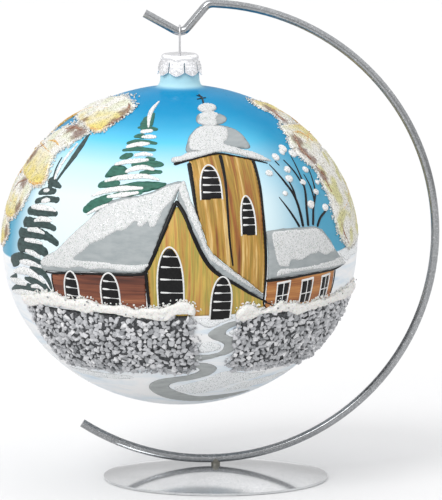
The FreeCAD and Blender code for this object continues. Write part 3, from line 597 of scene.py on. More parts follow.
BROWN_GLITTER = glitter("brown_glitter", (96, 52, 38), (150, 92, 62), (214, 190, 170), 0.40, 0.22,
                        speck_share=0.3)
AMBER_GLITTER = glitter("amber_glitter", (200, 130, 36), (236, 176, 70), (240, 226, 190), 0.40, 0.22,
                        speck_share=0.3)
STONE = crushed_stone()
CREVICE_SHADE = crevice_shade_bed()
SNOW = snow_paste()
TOWER_WOOD = planks("tower_wood", [(0.30, srgb(112, 62, 34)), (0.40, srgb(166, 104, 48)),
                                   (0.47, srgb(168, 138, 58)), (0.54, srgb(196, 148, 66)),
                                   (0.63, srgb(238, 206, 138)), (0.70, srgb(152, 96, 46))],
                    upright=True, plank=5.0, gaps=0.12)
GABLE_WOOD = planks("gable_wood", [(0.30, srgb(142, 98, 50)), (0.40, srgb(196, 150, 72)),
                                   (0.48, srgb(170, 160, 74)), (0.56, srgb(214, 178, 88)),
                                   (0.66, srgb(190, 126, 66)), (0.75, srgb(232, 208, 136))],
                    upright=True, plank=4.4, gaps=0.12)
NAVE_WOOD = planks("nave_wood", [(0.28, srgb(58, 30, 24)), (0.45, srgb(108, 56, 38)), (0.58, srgb(138, 78, 52)),
                                 (0.75, srgb(182, 120, 84))],
                   upright=False, plank=1.5, gaps=0.42)
WING_WOOD = planks("wing_wood", [(0.28, srgb(130, 74, 36)), (0.45, srgb(176, 110, 54)), (0.60, srgb(200, 136, 72)),
                                 (0.78, srgb(218, 160, 96))],
                   upright=False, plank=2.4, gaps=0.28)


# ---------------------------------------------------------------- glass ball

def sky_colour(longitude, height):
    """The sprayed sky: deep blue at the crown, paling to a glow near the horizon, bluer at the sides."""
    deep, middle, pale = (np.array(srgb(*c)) for c in ((0, 144, 198), (104, 208, 244), (232, 251, 255)))
    side_high, side_low = np.array(srgb(0, 142, 194)), np.array(srgb(60, 160, 196))
    share = np.interp(height, [28, 40, 50, 56, 60, 64], [1.0, 0.84, 0.50, 0.20, 0.06, 0.0])[:, None]
    colour = np.where(share < 0.5, deep + (middle - deep) * share * 2, middle + (pale - middle) * (share * 2 - 1))
    turn = (longitude + 180) % 360 - 180
    side = smooth_step(24, 56, turn) * (1 - smooth_step(120, 150, turn))
    side = side + smooth_step(56, 74, -turn) * (1 - smooth_step(120, 150, -turn))
    strength = (side * 0.92)[:, None]
    edge = side_low + (side_high - side_low) * smooth_step(35, 58, height)[:, None]
    return colour * (1 - strength) + edge * strength


def horizon(longitude):
    """Height of the line where the sky ends and the brushed snow begins."""
    turn = np.radians(longitude)
    return -0.4 + 2.3 * np.sin(turn) + 0.8 * np.sin(5 * turn + 1.0) * smooth_step(90, 120, np.abs(longitude))


def make_ball():
    """The blown shell as one turned surface, outside and inside, with its neck and sealing pip."""
    wall, lip = 1.1, 80.93             # the glass's thickness, and the height of the neck's edge
    outer = [(0.0, -HALF_HEIGHT - 1.0), (0.5, -HALF_HEIGHT - 0.88), (0.94, -HALF_HEIGHT - 0.72),
             (1.2, -HALF_HEIGHT - 0.36)]
    start, foot, neck_top = 11.5, (8.3, 71.0), (7.2, 80.8)
    turns = np.linspace(-math.pi / 2 + 0.022, math.acos(start / RADIUS), 190)
    outer += [(RADIUS * math.cos(t), HALF_HEIGHT * math.sin(t)) for t in turns]
    shoulder = (start, HALF_HEIGHT * math.sin(turns[-1]))
    slope = -HALF_HEIGHT ** 2 * shoulder[0] / (RADIUS ** 2 * shoulder[1])
    corner = (foot[0], shoulder[1] + slope * (foot[0] - start))
    for t in np.linspace(0.1, 1.0, 10):
        outer.append(tuple((1 - t) ** 2 * shoulder[i] + 2 * t * (1 - t) * corner[i] + t * t * foot[i]
                           for i in (0, 1)))
    outer += [(foot[0] + (neck_top[0] - foot[0]) * t, foot[1] + (neck_top[1] - foot[1]) * t)
              for t in np.linspace(0.15, 1.0, 7)]
    inner = [(neck_top[0] - 0.25, lip), (neck_top[0] - wall + 0.25, lip), (neck_top[0] - wall, neck_top[1]),
             (foot[0] - wall, foot[1]), (foot[0] - wall + 0.3, 68.6), (10.6, HALF_HEIGHT - wall - 0.7)]
    turns = np.linspace(math.acos(11.2 / (RADIUS - wall)), -math.pi / 2 + 0.02, 80)
    inner += [((RADIUS - wall) * math.cos(t), (HALF_HEIGHT - wall) * math.sin(t)) for t in turns]
    inner.append((0.0, -HALF_HEIGHT + wall))
    profile = outer + inner
    segments = 288
    longitudes = np.arange(segments) * 360 / segments - 180
    points, flat = [], []
    turn = np.radians(longitudes + TURN)
    for radius, height in profile[1:-1]:
        points.append(np.column_stack([radius * np.sin(turn), -radius * np.cos(turn), np.full(segments, height)]))
        flat.append(np.column_stack([longitudes, np.full(segments, height)]))
    points, flat = np.concatenate(points), np.concatenate(flat)
    faces = [(a, d, c, b) for a, b, c, d in ring_faces(len(profile) - 2, segments)]
    bottom, top = len(points), len(points) + 1
    points = np.concatenate([points, [[0, 0, profile[0][1]], [0, 0, profile[-1][1]]]])
    flat = np.concatenate([flat, [[0, profile[0][1]], [0, profile[-1][1]]]])
    last = (len(profile) - 3) * segments
    for k in range(segments):
        faces.append((k, bottom, (k + 1) % segments))
        faces.append((last + k, last + (k + 1) % segments, top))
    paint = sky_colour(flat[:, 0], flat[:, 1])
    # The neck's pale cyan-white is painted reflection: it stands in for the bright light mirrored by the silvered
    # glass.
    neck = smooth_step(66.6, 68.6, flat[:, 1])[:, None]
    paint = paint * (1 - neck) + np.array(srgb(196, 240, 250)) * neck
    above = flat[:, 1] - horizon(flat[:, 0])
    ground = smooth_step(0.2, -0.2, above)[:, None]
    paint = paint * (1 - ground) + ground
    ball = Piece("bauble_glass")
    place = np.column_stack([np.radians(flat[:, 0]) * RADIUS, flat[:, 1]])
    ball.add(points + CENTRE, faces, place, np.clip(above, -3, 3), paint)
    ball.finish(ball_lacquer(), "lacquered_glass", ["glass_ball"])


make_ball()


# ---------------------------------------------------------------- church

NAVE_ROOF = [(0.9, 35.9), (-0.9, 35.9), (-5, 34.6), (-10, 31.7), (-15, 29.9), (-20, 29.3), (-25, 27.5), (-29, 24.0),
             (-32, 19.7), (-36, 15.0), (-40.5, 9.6), (-44, 5.4), (-48.6, 2.5), (-51.6, -0.5), (-50.9, -3.5),
             (-49, -4.4), (-39.5, -3.4), (-30, -2.5), (-20, -2.2), (-12.3, -1.5), (-10.7, 0.0), (-9.1, 3.4),
             (-1.6, 28.9)]
NAVE_SNOW = [(1.0, 35.2), (-1.4, 34.8), (-5, 33.9), (-10, 31.2), (-15, 29.6), (-20, 28.4), (-25, 26.2), (-29, 23.2),
             (-32, 19.6), (-36, 15.0), (-40.5, 9.6), (-44, 5.4), (-48.6, 2.5), (-51.4, -0.6), (-49.6, -2.3),
             (-45, -2.1), (-39, -2.0), (-34, -0.8), (-30, -1.4), (-24, -0.7), (-20, -1.2), (-15.5, -1.4),
             (-12, -0.4), (-9.6, 2.4), (-12, 2.4), (-19, 2.1), (-28, 2.7), (-36.2, 2.5), (-32.7, 6.0),
             (-30, 9.3), (-26, 11.4), (-21.4, 15.0), (-19, 15.5), (-16.4, 18.0), (-15.0, 19.4), (-14.4, 17.6),
             (-13.2, 17.2), (-11.8, 18.4), (-11.0, 19.4), (-10.4, 17.5), (-9.2, 17.2), (-7.7, 19.1),
             (-5.5, 24.5), (-2.6, 28.4), (-1.0, 31.8)]
GABLE_ROOF_GREY = [(-0.6, 31.9), (1.8, 35.0), (3.4, 29.0), (5.5, 23.0), (6.9, 17.2), (8.6, 10.0), (10.5, 6.0),
                   (15, 1.0), (18.6, -2.6), (23.2, -7.3), (28.4, -12.2), (28.6, -14.0), (22.3, -10.0),
                   (17.7, -5.9), (14.1, -3.5), (11.4, -0.5), (9.1, 2.5), (6.8, 7.8), (4.1, 15.0), (0.9, 24.5),
                   (-1.4, 29.0)]
GABLE_ROOF_SNOW = [(-0.8, 32.4), (0.2, 35.4), (1.8, 35.6), (3.4, 29.3), (5.5, 23.3), (6.9, 17.4), (8.6, 10.2),
                   (10.5, 6.3), (15, 1.3), (18.6, -2.3), (23.2, -7.1), (28.4, -12.0), (24.1, -9.2), (19.5, -5.7),
                   (15, -1.5), (11.8, 1.5), (9.3, 4.0), (7.4, 8.6), (5.6, 14.0), (3.3, 19.9), (1.0, 27.1)]
GABLE = [(-1.4, 27.0), (-9.6, 2.2), (-10.7, -0.4), (-10.4, -20.5), (29.0, -19.5), (28.4, -13.8), (22.3, -10.4),
         (17.7, -6.4), (14.1, -3.9), (11.4, -0.9), (9.1, 2.0), (6.8, 7.3), (4.1, 14.5), (0.9, 23.6)]
NAVE = [(-46.2, -16.5), (-46.2, -4.8), (-39.5, -4.0), (-28, -3.1), (-19, -2.8), (-11.0, -2.2), (-11.0, -18.5)]
TOWER = [(3.4, 43.4), (9.8, 45.0), (17, 45.9), (24.5, 44.6), (31.4, 42.8), (30.4, 34.0), (29.1, 23.3), (28.4, 13.8),
         (28.4, -12.4), (23.2, -7.0), (18.6, -2.4), (15, 1.2), (10.5, 6.2), (8.6, 10.0), (6.9, 17.2), (5.6, 22.6),
         (4.8, 31.7)]
WING = [(28.8, -19.5), (28.8, -6.0), (45, -5.2), (60.0, -5.4), (59.8, -18.0)]
WING_ROOF = [(28.9, -5.6), (28.9, 14.8), (35.9, 15.3), (50, 14.5), (53.8, 12.6), (57.5, 7.8), (60, 3.7), (62.2, 1.3),
             (68.4, -4.6), (60, -5.0), (45, -4.9)]
WING_SNOW_HIGH = [(31.2, 13.6), (35.9, 14.4), (49.5, 13.8), (53.2, 12.0), (56.6, 7.8), (59.8, 3.2), (57.0, 2.2),
                  (53.6, 1.6), (50.6, 3.6), (48.8, 2.8), (46.6, 3.0), (44.2, 1.8), (41.2, 1.0), (38.2, 1.6),
                  (37.0, -1.2), (34.8, -0.6), (32.9, 0.2), (31.7, 5.5)]
WING_SNOW_LOW = [(33.0, -1.6), (36.2, -1.2), (42.0, -1.6), (50.0, -1.2), (57.0, -1.0), (63.4, -0.4), (67.4, -3.6),
                 (62.0, -4.2), (52.0, -3.9), (42.0, -3.7), (36.6, -3.9), (32.4, -4.6)]
EAVE_SNOW = [(-4.0, 43.4), (-3.3, 44.8), (0.4, 45.4), (3.8, 46.8), (10.4, 47.4), (20.7, 48.8), (28.9, 47.0),
             (33.4, 45.8), (38.0, 43.4), (40.2, 41.7), (36.2, 41.9), (30.7, 43.4), (24.1, 45.3), (17.2, 46.3),
             (9.9, 45.0), (3.1, 43.6), (-2.3, 42.7)]
DOME_GREY = [(2.8, 46.6), (3.2, 50.4), (5.8, 53.6), (10.8, 55.9), (18.0, 56.4), (25.6, 55.8), (31.3, 54.0),
             (33.5, 51.0), (33.0, 47.2), (26.0, 47.4), (18.0, 48.6), (10.0, 47.0)]
DOME_SNOW = [(4.2, 47.6), (4.2, 51.2), (6.6, 53.8), (10.8, 55.6), (16.3, 56.0), (23.1, 55.6), (26.3, 54.7),
             (25.6, 52.8), (23.1, 50.5), (21.2, 49.4), (22.4, 47.9), (16.0, 47.4), (9.0, 46.8)]
LANTERN_GREY = [(9.6, 58.0), (12.2, 59.9), (19.0, 60.6), (26.0, 60.2), (30.7, 59.0), (29.5, 57.5), (24.8, 56.3),
                (17.0, 55.9), (11.4, 56.6)]
LANTERN_SNOW = [(13.2, 60.0), (20.8, 60.8), (26.0, 60.2), (26.5, 59.2), (23.7, 58.4), (22.6, 57.0), (20.4, 55.6),
                (13.3, 56.2), (10.5, 57.2), (12.4, 58.8)]
KNOB_SNOW = [(14.0, 62.0), (17.2, 62.9), (24.5, 63.2), (30.5, 62.4), (28.6, 61.3), (24.2, 60.6), (18.4, 60.4),
             (14.6, 61.0)]


def one_patch(name, outline, material, slot, thickness, replaces=(), **options):
    piece = Piece(name)
    patch(piece, outline, thickness, **options)
    piece.finish(material, slot, replaces)


one_patch("gable_boards", GABLE, GABLE_WOOD, "ochre_paint", 0.12, ["gable_wall"], corners=True, seed=2)
one_patch("nave_boards", NAVE, NAVE_WOOD, "red_brown_paint", 0.14, ["nave_wall"], corners=True, seed=3)
one_patch("tower_boards", TOWER, TOWER_WOOD, "golden_paint", 0.14, ["tower_wall"], corners=True, seed=4)
one_patch("wing_boards", WING, WING_WOOD, "orange_brown_paint", 0.12, ["wing_wall"], corners=True, seed=5)

roof = Piece("roof_paint")
patch(roof, NAVE_ROOF, 0.24, corners=True, seed=6, lumps=0.03)
patch(roof, GABLE_ROOF_GREY, 0.26, corners=True, seed=7)
patch(roof, WING_ROOF, 0.24, corners=True, seed=8, lumps=0.03)
patch(roof, DOME_GREY, 0.30, seed=9, edge=0.8)
patch(roof, LANTERN_GREY, 0.30, seed=10, edge=0.8)
roof.finish(ROOF_GREY, "roof_grey_paste", ["nave_roof", "wing_roof"])

snow_caps = Piece("roof_snow")
SNOW_LOOK = {"grid": 0.75, "step": 0.55, "edge": 0.7, "lumps": 0.09, "lump_size": 1.5, "lift": 0.1}
for number, area in enumerate((NAVE_SNOW, GABLE_ROOF_SNOW, WING_SNOW_HIGH, WING_SNOW_LOW)):
    patch(snow_caps, area, 0.52, seed=20 + number, wobble=0.2, **SNOW_LOOK)
for number, area in enumerate((EAVE_SNOW, DOME_SNOW, LANTERN_SNOW, KNOB_SNOW)):
    patch(snow_caps, area, 0.6, seed=30 + number, wobble=0.12, **SNOW_LOOK)
snow_caps.finish(ROOF_SNOW, "snow_paste", ["tower_roof", "gable_eave"])

lines = Piece("ink_lines")
INK = [
    # (places, widths): the gable's two slopes, the nave's eave and corner
    ([(-10.9, -0.4), (-9.4, 3.6), (-5.6, 15.6), (-1.6, 27.6)], [1.9, 2.0, 2.1, 1.8]),
    ([(-1.7, 28.2), (1.0, 23.6), (3.8, 14.9), (6.4, 7.4), (9.0, 1.8), (11.8, -1.8), (16.0, -5.2), (20.0, -8.4),
      (24.6, -12.0), (29.6, -15.2)], [2.0, 2.1, 2.0, 2.0, 2.1, 1.9, 1.7, 1.5, 1.2, 0.8]),
    ([(-49.2, -4.5), (-45, -4.5), (-39.5, -3.8), (-28.2, -2.9), (-19.1, -2.6), (-12.4, -2.0), (-10.7, -0.2)],
     [0.6, 1.1, 0.9, 1.0, 1.1, 1.3, 1.6]),
    ([(-11.2, -1.2), (-10.8, -7.0), (-10.4, -14.0), (-10.2, -18.2)], [1.6, 1.4, 1.5, 1.3]),
    ([(-46.0, -5.0), (-45.9, -9.0), (-44.9, -14.5)], [0.8, 0.9, 1.0]),
    # tower: left edge, middle corner, right edge with its hooked foot
    ([(3.6, 42.8), (4.6, 33.0), (5.2, 26.0), (6.2, 20.2)], [2.1, 1.9, 1.5, 0.4]),
    ([(17.3, 45.4), (17.0, 35.2), (16.2, 23.3), (16.1, 11.4), (16.9, 1.0)], [2.1, 1.6, 1.4, 1.3, 1.0]),
    ([(31.4, 42.6), (30.4, 33.0), (29.2, 23.3), (28.6, 13.0), (28.4, 0.0), (28.2, -12.0), (28.6, -16.4),
      (31.2, -18.6)], [1.9, 1.4, 1.2, 1.3, 1.4, 1.3, 1.0, 0.5]),
    ([(28.4, -15.0), (31.0, -16.2), (33.4, -17.4)], [0.6, 0.7, 0.4]),
    ([(-2.7, 42.1), (3.2, 43.6), (10, 45.0), (17.1, 45.9), (24.5, 44.5), (32.3, 42.6), (37.8, 41.0)],
     [1.4, 1.0, 0.9, 1.0, 0.9, 0.9, 0.6]),
    # wing: eave and far corner
    ([(28.6, -6.0), (36.0, -5.9), (45.0, -5.4), (55.0, -5.3), (61.0, -5.2), (68.2, -3.7)],
     [1.4, 1.3, 1.0, 0.9, 0.7, 0.4]),
    ([(60.4, -5.6), (60.2, -11.0), (59.6, -15.6)], [0.7, 0.6, 0.5]),
    # the little cross on the tower
    ([(27.4, 65.9), (24.8, 64.6), (21.6, 63.3)], [0.7, 0.8, 0.7]),
    ([(18.4, 64.6), (24.6, 64.8), (31.0, 64.9)], [0.8, 0.7, 0.8]),
    ([(22.4, 65.7), (25.6, 65.3), (28.4, 65.2)], [0.5, 0.6, 0.5]),
]
for number, (places, width) in enumerate(INK):
    stroke(lines, places, width, 0.3, seed=40 + number)


# ---------------------------------------------------------------- windows

ARCHED = [
    # (the middle's longitude at the sill and at the head), (sill, head), half width, heights of the bars
    ((-37.8, -37.8), (-15.6, -2.8), 2.9, (-5.9, -9.6, -13.0)),
    ((-23.2, -23.6), (-16.4, -2.2), 3.3, (-5.6, -9.0, -12.7)),
    ((-3.0, -3.6), (-17.5, 9.4), 4.3, (5.6, 1.2, -4.0, -9.6)),
    ((13.3, 13.5), (-21.8, -3.2), 3.5, (-6.6, -10.0, -13.7, -17.4)),
    ((11.0, 11.4), (28.2, 41.6), 3.4, (39.5, 36.8, 34.0, 31.2)),
    ((22.8, 23.6), (13.3, 29.2), 2.5, (26.1, 23.6, 20.6, 17.7)),
]
PAIRED = [
    # left, right, sill and head of the wing's two-light windows
    (32.9, 37.8, -16.8, -7.2),
    (43.0, 48.0, -17.2, -7.2),
    (52.6, 56.8, -16.6, -6.8),
]


def arch_half(share):
    """Half width of a tall window at a share of its height: upright sides, then a long round head."""
    spring = 0.34                      # where the head begins
    return math.sqrt(max(0.0, 1.0 - max(0.0, (share - spring) / 0.66) ** 2.3))


def arched_places(middle, span, half, inset=0.0):
    """The outline of a tall arched window, from the right foot over the head to the left foot."""
    scale = math.degrees(1.0 / radius_at(sum(span) / 2))
    low, high = span
    sides = []
    for side in (1, -1):
        run = []
        for share in (0.0, 0.2, 0.4, 0.6, 0.75, 0.88, 0.96, 1.0):
            height = low + (high - inset - low) * share
            lean = middle[0] + (middle[1] - middle[0]) * share
            reach = max(0.0, half * arch_half(share) / DEGREES_PER_MM * scale - inset * scale)
            run.append((lean + side * reach, height))
        sides.append(run)
    return sides[0] + sides[1][::-1][1:]


FRAME = 0.34                           # thickness of the white frames and bars
panes = Piece("window_panes")
frames = Piece("window_frames")
for number, (middle, span, half, bars) in enumerate(ARCHED):
    outline = arched_places(middle, span, half)
    patch(panes, outline, 0.3, corners=True, grid=0.9, step=0.5, seed=60 + number, lift=0.12)
    stroke(frames, arched_places(middle, (span[0], span[1] + 0.2), half, 0.1), [0.75, 0.85, 0.75, 0.85, 0.75],
           FRAME, lift=0.16, seed=70 + number)
    scale = math.degrees(1.0 / radius_at(sum(span) / 2)) / DEGREES_PER_MM
    for index, bar in enumerate(bars):
        share = (bar - span[0]) / (span[1] - span[0])
        reach = half * arch_half(share) * scale
        lean = middle[0] + (middle[1] - middle[0]) * share
        places = [(lean - reach * 0.78, bar + 0.1), (lean - reach * 0.4, bar), (lean + reach * 0.95, bar - 0.1)]
        stroke(frames, places, [1.15, 0.95, 0.6, 0.62, 0.62], FRAME, lift=0.2, seed=80 + 5 * number + index)
lean = 0.5                             # degrees the wing windows lean over
for number, (left, right, low, high) in enumerate(PAIRED):
    outline = [(left, low), (right - lean, low), (right, high - 0.3), (right - 0.7, high), (left + 0.7, high),
               (left, high - 0.3)]
    patch(panes, outline, 0.3, corners=True, grid=0.9, step=0.5, seed=90 + number, lift=0.12)
    mid = (left + right) / 2
    bar = low + (high - low) * 0.42
    for places, width in (
            ([(left - 0.1, low), (left, high)], 0.6), ([(right - lean, low), (right + 0.1, high)], 0.7),
            ([(left - 0.3, high - 0.3), (mid, high - 0.1), (right + 0.4, high + 0.3)], 1.1),
            ([(mid - 0.2, low), (mid, high)], 0.6), ([(left, bar - 0.2), (right, bar + 0.2)], 0.6)):
        stroke(frames, places, width, FRAME, lift=0.18, seed=100 + number)
panes.finish(BLACK, "window_black_paint", ["church_windows"])
frames.finish(WHITE_LINE, "window_black_paint")


# ---------------------------------------------------------------- trees and bush

def strokes(piece, rows, thickness, seed, lift=0.03, ragged=0.16):
    """A brush stroke for each row of (widths, place, place, ...)."""
    for number, (width, *places) in enumerate(rows):
        stroke(piece, places, width, thickness, lift=lift, ragged=ragged, seed=seed + number)


def widened(rows, factor):
    return [([factor * width for width in widths], *places) for widths, *places in rows]


FIR_CENTRE_GREEN = [
    ([0.8, 1.5, 1.6], (-19.0, 60.4), (-18.3, 58.0), (-17.3, 55.7)),
    ([0.7, 1.8], (-22.5, 59.1), (-20.9, 55.6)),
    ([0.8, 1.6, 1.0], (-24.2, 55.1), (-19.1, 55.4), (-12.2, 54.6)),
    ([0.9, 1.8, 1.4], (-23.8, 51.8), (-20.5, 52.3), (-17.4, 51.6)),
    ([0.9, 1.5, 1.5, 0.8], (-25.9, 49.2), (-22.5, 50.2), (-16.7, 50.2), (-10.8, 49.7)),
    ([0.9, 1.5, 1.3, 0.9], (-26.6, 46.7), (-21.0, 47.5), (-15.7, 47.5), (-10.8, 47.3)),
    ([1.1, 2.0, 1.6], (-26.4, 43.7), (-24.0, 44.6), (-20.7, 45.4)),
    ([1.2, 0.9], (-14.9, 44.3), (-10.4, 44.0)),
    ([1.4, 1.9, 2.4, 1.2], (-20.3, 41.6), (-16.0, 41.8), (-11.4, 42.2), (-6.7, 41.9)),
    ([0.9, 1.5, 0.9], (-16.2, 38.5), (-11.8, 39.2), (-7.0, 39.2)),
    ([1.6, 2.2, 2.0, 1.8], (-31.5, 32.4), (-29.7, 33.5), (-26.1, 34.1), (-22.9, 34.3)),
    ([1.6, 2.6, 2.6, 2.2], (-35.0, 22.2), (-32.0, 25.0), (-28.8, 27.0), (-24.6, 28.8)),
    ([1.2, 1.6, 1.2], (-24.9, 29.5), (-18.1, 30.6), (-13.6, 31.4)),
    ([1.2, 2.6, 2.0], (-22.6, 59.0), (-21.0, 57.0), (-19.6, 54.0)),
]
FIR_CENTRE_BLOCKS = [
    [(-29.9, 36.1), (-29.4, 38.7), (-27.7, 41.2), (-23.0, 41.0), (-20.6, 39.2), (-21.4, 37.6), (-25.1, 36.8)],
    [(-24.0, 33.2), (-18.1, 35.0), (-13.0, 35.6), (-7.4, 35.4), (-3.4, 34.5), (-7.2, 32.9), (-12.4, 31.3),
     (-17.2, 30.2), (-20.0, 31.5)],
]
FIR_CENTRE_SNOW = [
    ([0.7, 2.0, 2.1, 0.9], (-20.8, 64.0), (-21.6, 61.1), (-20.0, 58.4), (-17.8, 55.2)),
    ([2.2, 2.6, 2.0], (-21.4, 53.6), (-18.0, 54.0), (-14.6, 54.2)),
    ([1.4, 2.8, 2.2], (-19.7, 51.8), (-16.0, 52.1), (-12.0, 52.0)),
    ([1.6, 2.8, 2.8, 1.4], (-25.4, 47.9), (-20.7, 49.1), (-17.6, 49.4), (-14.4, 49.6)),
    ([1.6, 2.3, 1.4], (-20.2, 45.0), (-16.1, 45.8), (-11.7, 45.4)),
    ([1.4, 2.6, 2.8, 1.4], (-27.6, 41.2), (-22.6, 42.6), (-17.8, 43.2), (-13.2, 43.6)),
    ([1.6, 2.8, 2.7, 1.2], (-22.0, 38.6), (-18.5, 40.2), (-14.4, 40.8), (-10.2, 39.9)),
    ([1.4, 2.6, 2.8, 2.4, 1.0], (-29.4, 34.6), (-24.8, 36.2), (-17.7, 37.2), (-13.2, 37.4), (-7.8, 36.1)),
    ([1.2, 2.6, 2.8, 1.4], (-33.2, 28.5), (-28.0, 30.9), (-22.0, 32.3), (-13.6, 32.8)),
    ([1.4, 2.6, 1.4], (-26.9, 28.7), (-20.7, 30.0), (-15.0, 31.1)),
    ([1.0, 1.9, 1.4], (-33.4, 21.1), (-29.5, 23.9), (-25.5, 25.9)),
    ([0.8, 1.4, 1.2], (-31.4, 18.8), (-28.0, 21.8), (-24.8, 23.8)),
]
FIR_LEFT_DARK = [
    ([0.8, 2.2, 2.4, 1.4, 1.0], (-51.4, 51.9), (-50.0, 47.2), (-49.9, 42.4), (-50.9, 37.4), (-52.4, 31.8)),
    ([0.6, 0.7, 1.0], (-56.9, 41.7), (-56.2, 37.3), (-54.4, 32.9)),
    ([2.4, 2.6, 1.0], (-57.2, 32.6), (-52.4, 31.6), (-48.1, 30.5)),
    ([1.8, 2.6, 2.0], (-55.6, 34.0), (-54.6, 31.0), (-54.0, 28.0)),
    ([1.6, 2.8, 1.6], (-59.7, 26.7), (-56.6, 28.0), (-49.8, 28.7)),
    ([1.6, 2.4, 1.8], (-60.0, 23.3), (-53.5, 25.2), (-46.7, 25.5)),
    ([2.6, 2.6, 1.6], (-63.0, 19.4), (-52.9, 19.6), (-45.7, 20.1)),
    ([3.4, 3.0, 1.6], (-64.0, 14.4), (-52.0, 15.2), (-45.0, 13.8)),
    ([3.6, 3.2, 1.8], (-60.6, 11.2), (-49.6, 10.6), (-43.1, 7.7)),
    ([3.2, 3.0, 1.6], (-66.0, 9.8), (-59.0, 9.8), (-54.0, 9.6)),
    ([4.6, 4.4, 2.4], (-66.0, 4.6), (-54.0, 5.0), (-47.6, 3.0)),
    ([3.0, 3.2, 1.2], (-72.0, -3.3), (-62.0, -0.4), (-49.8, -0.9)),
    ([1.4, 2.0, 1.6], (-70.6, -5.0), (-66.0, -3.4), (-63.4, -1.1)),
    ([1.0, 2.4, 2.2, 1.2], (-57.6, -4.1), (-51.0, -5.0), (-48.0, -8.0), (-46.8, -11.8)),
    ([1.0, 2.6, 2.6, 1.4], (-61.7, -9.2), (-55.3, -9.6), (-50.7, -10.6), (-47.6, -13.2)),
    ([0.8, 1.8, 1.8, 1.2], (-77.7, -17.0), (-68.0, -14.0), (-60.2, -13.2), (-53.4, -13.3)),
    ([0.6, 1.6], (-75.3, -11.4), (-67.3, -8.9)),
    ([2.0, 2.2, 1.4], (-61.0, -12.4), (-55.0, -13.0), (-49.6, -15.2)),
]
FIR_LEFT_SNOW = [
    ([0.8, 1.7, 1.9, 1.9, 1.2], (-53.0, 47.4), (-53.7, 43.4), (-54.2, 39.7), (-54.0, 35.7), (-53.4, 33.0)),
    ([1.8, 2.2, 1.8], (-57.0, 28.1), (-55.4, 28.4), (-53.6, 28.6)),
    ([1.8, 2.8, 1.8], (-55.9, 23.8), (-53.8, 24.6), (-51.2, 24.9)),
    ([1.8, 3.0, 2.6, 1.2], (-61.0, 21.0), (-55.0, 21.6), (-50.0, 21.6), (-46.6, 21.2)),
    ([1.4, 2.6, 2.6, 1.2], (-57.0, 15.6), (-54.0, 16.9), (-50.6, 17.2), (-47.6, 17.0)),
    ([1.8, 2.6, 1.2], (-60.0, 11.7), (-54.4, 12.2), (-50.0, 11.4)),
    ([1.6, 2.4, 1.2], (-61.0, 7.3), (-55.0, 7.6), (-50.5, 7.2)),
    ([1.6, 2.8, 1.6], (-60.0, 2.9), (-55.0, 2.4), (-51.3, 1.1)),
    ([1.4, 3.0, 2.6, 1.2], (-64.0, -2.5), (-58.6, -1.9), (-54.4, -2.1), (-51.4, -2.9)),
    ([1.6, 3.6, 3.6, 1.6], (-70.0, -7.7), (-60.9, -5.9), (-54.4, -6.9), (-49.6, -9.4)),
    ([1.6, 3.4, 2.4], (-75.0, -11.9), (-66.0, -11.6), (-60.8, -11.4)),
    ([1.4, 3.0, 2.6], (-76.3, -17.4), (-63.9, -15.7), (-54.0, -15.2)),
    ([1.4, 2.4, 1.4], (-58.0, -12.2), (-54.0, -11.4), (-51.0, -12.4)),
]
centre_green, centre_snow = Piece("fir_centre_paint"), Piece("fir_centre_snow")
strokes(centre_green, widened(FIR_CENTRE_GREEN, 1.75), 0.2, seed=120)
for number, block in enumerate(FIR_CENTRE_BLOCKS):
    patch(centre_green, block, 0.22, seed=140 + number, wobble=0.25)
strokes(centre_snow, FIR_CENTRE_SNOW, 0.42, seed=150, lift=0.12)
centre_green.finish(FIR_GREEN, "fir_green_paint", ["fir_tree_centre"])
centre_snow.finish(FIR_SNOW, "snow_paste")
left_dark, left_snow = Piece("fir_left_paint"), Piece("fir_left_snow")
strokes(left_dark, widened(FIR_LEFT_DARK, 1.42), 0.2, seed=170)
strokes(left_snow, FIR_LEFT_SNOW, 0.42, seed=190, lift=0.12)
left_dark.finish(FIR_GREY, "fir_grey_paint", ["fir_tree_left"])
left_snow.finish(FIR_SNOW, "snow_paste")

BUSH = [
    ([1.3, 1.0, 0.4], (43.0, 15.0), (40.5, 20.9), (37.0, 27.8)),
    ([1.6, 1.4, 1.2, 0.5], (44.6, 14.8), (44.3, 26.3), (41.9, 33.4), (38.2, 40.6)),
    ([0.9, 1.0, 0.6], (44.3, 25.8), (44.6, 29.6), (44.0, 33.6)),
    ([1.5, 1.4, 1.2, 0.8, 0.5], (47.0, 14.8), (48.2, 22.1), (50.6, 29.6), (51.6, 36.0), (52.6, 42.6)),
    ([0.9, 0.9, 0.5], (50.4, 31.0), (49.2, 36.6), (46.8, 41.6)),
    ([1.4, 1.2, 0.9, 0.5], (49.4, 14.8), (51.6, 21.4), (55.9, 28.0), (58.8, 36.6)),
    ([0.9, 0.8, 0.4], (53.2, 23.4), (54.2, 29.6), (53.8, 35.2)),
    ([1.4, 1.2, 0.8], (51.4, 14.0), (54.5, 17.6), (60.4, 20.4)),
    ([0.5, 0.6], (43.0, 39.6), (42.0, 41.6)),
]
for number, (width, *places) in enumerate(BUSH):
    stroke(lines, places, width, 0.28, seed=210 + number)
lines.finish(BLACK, "window_black_paint")

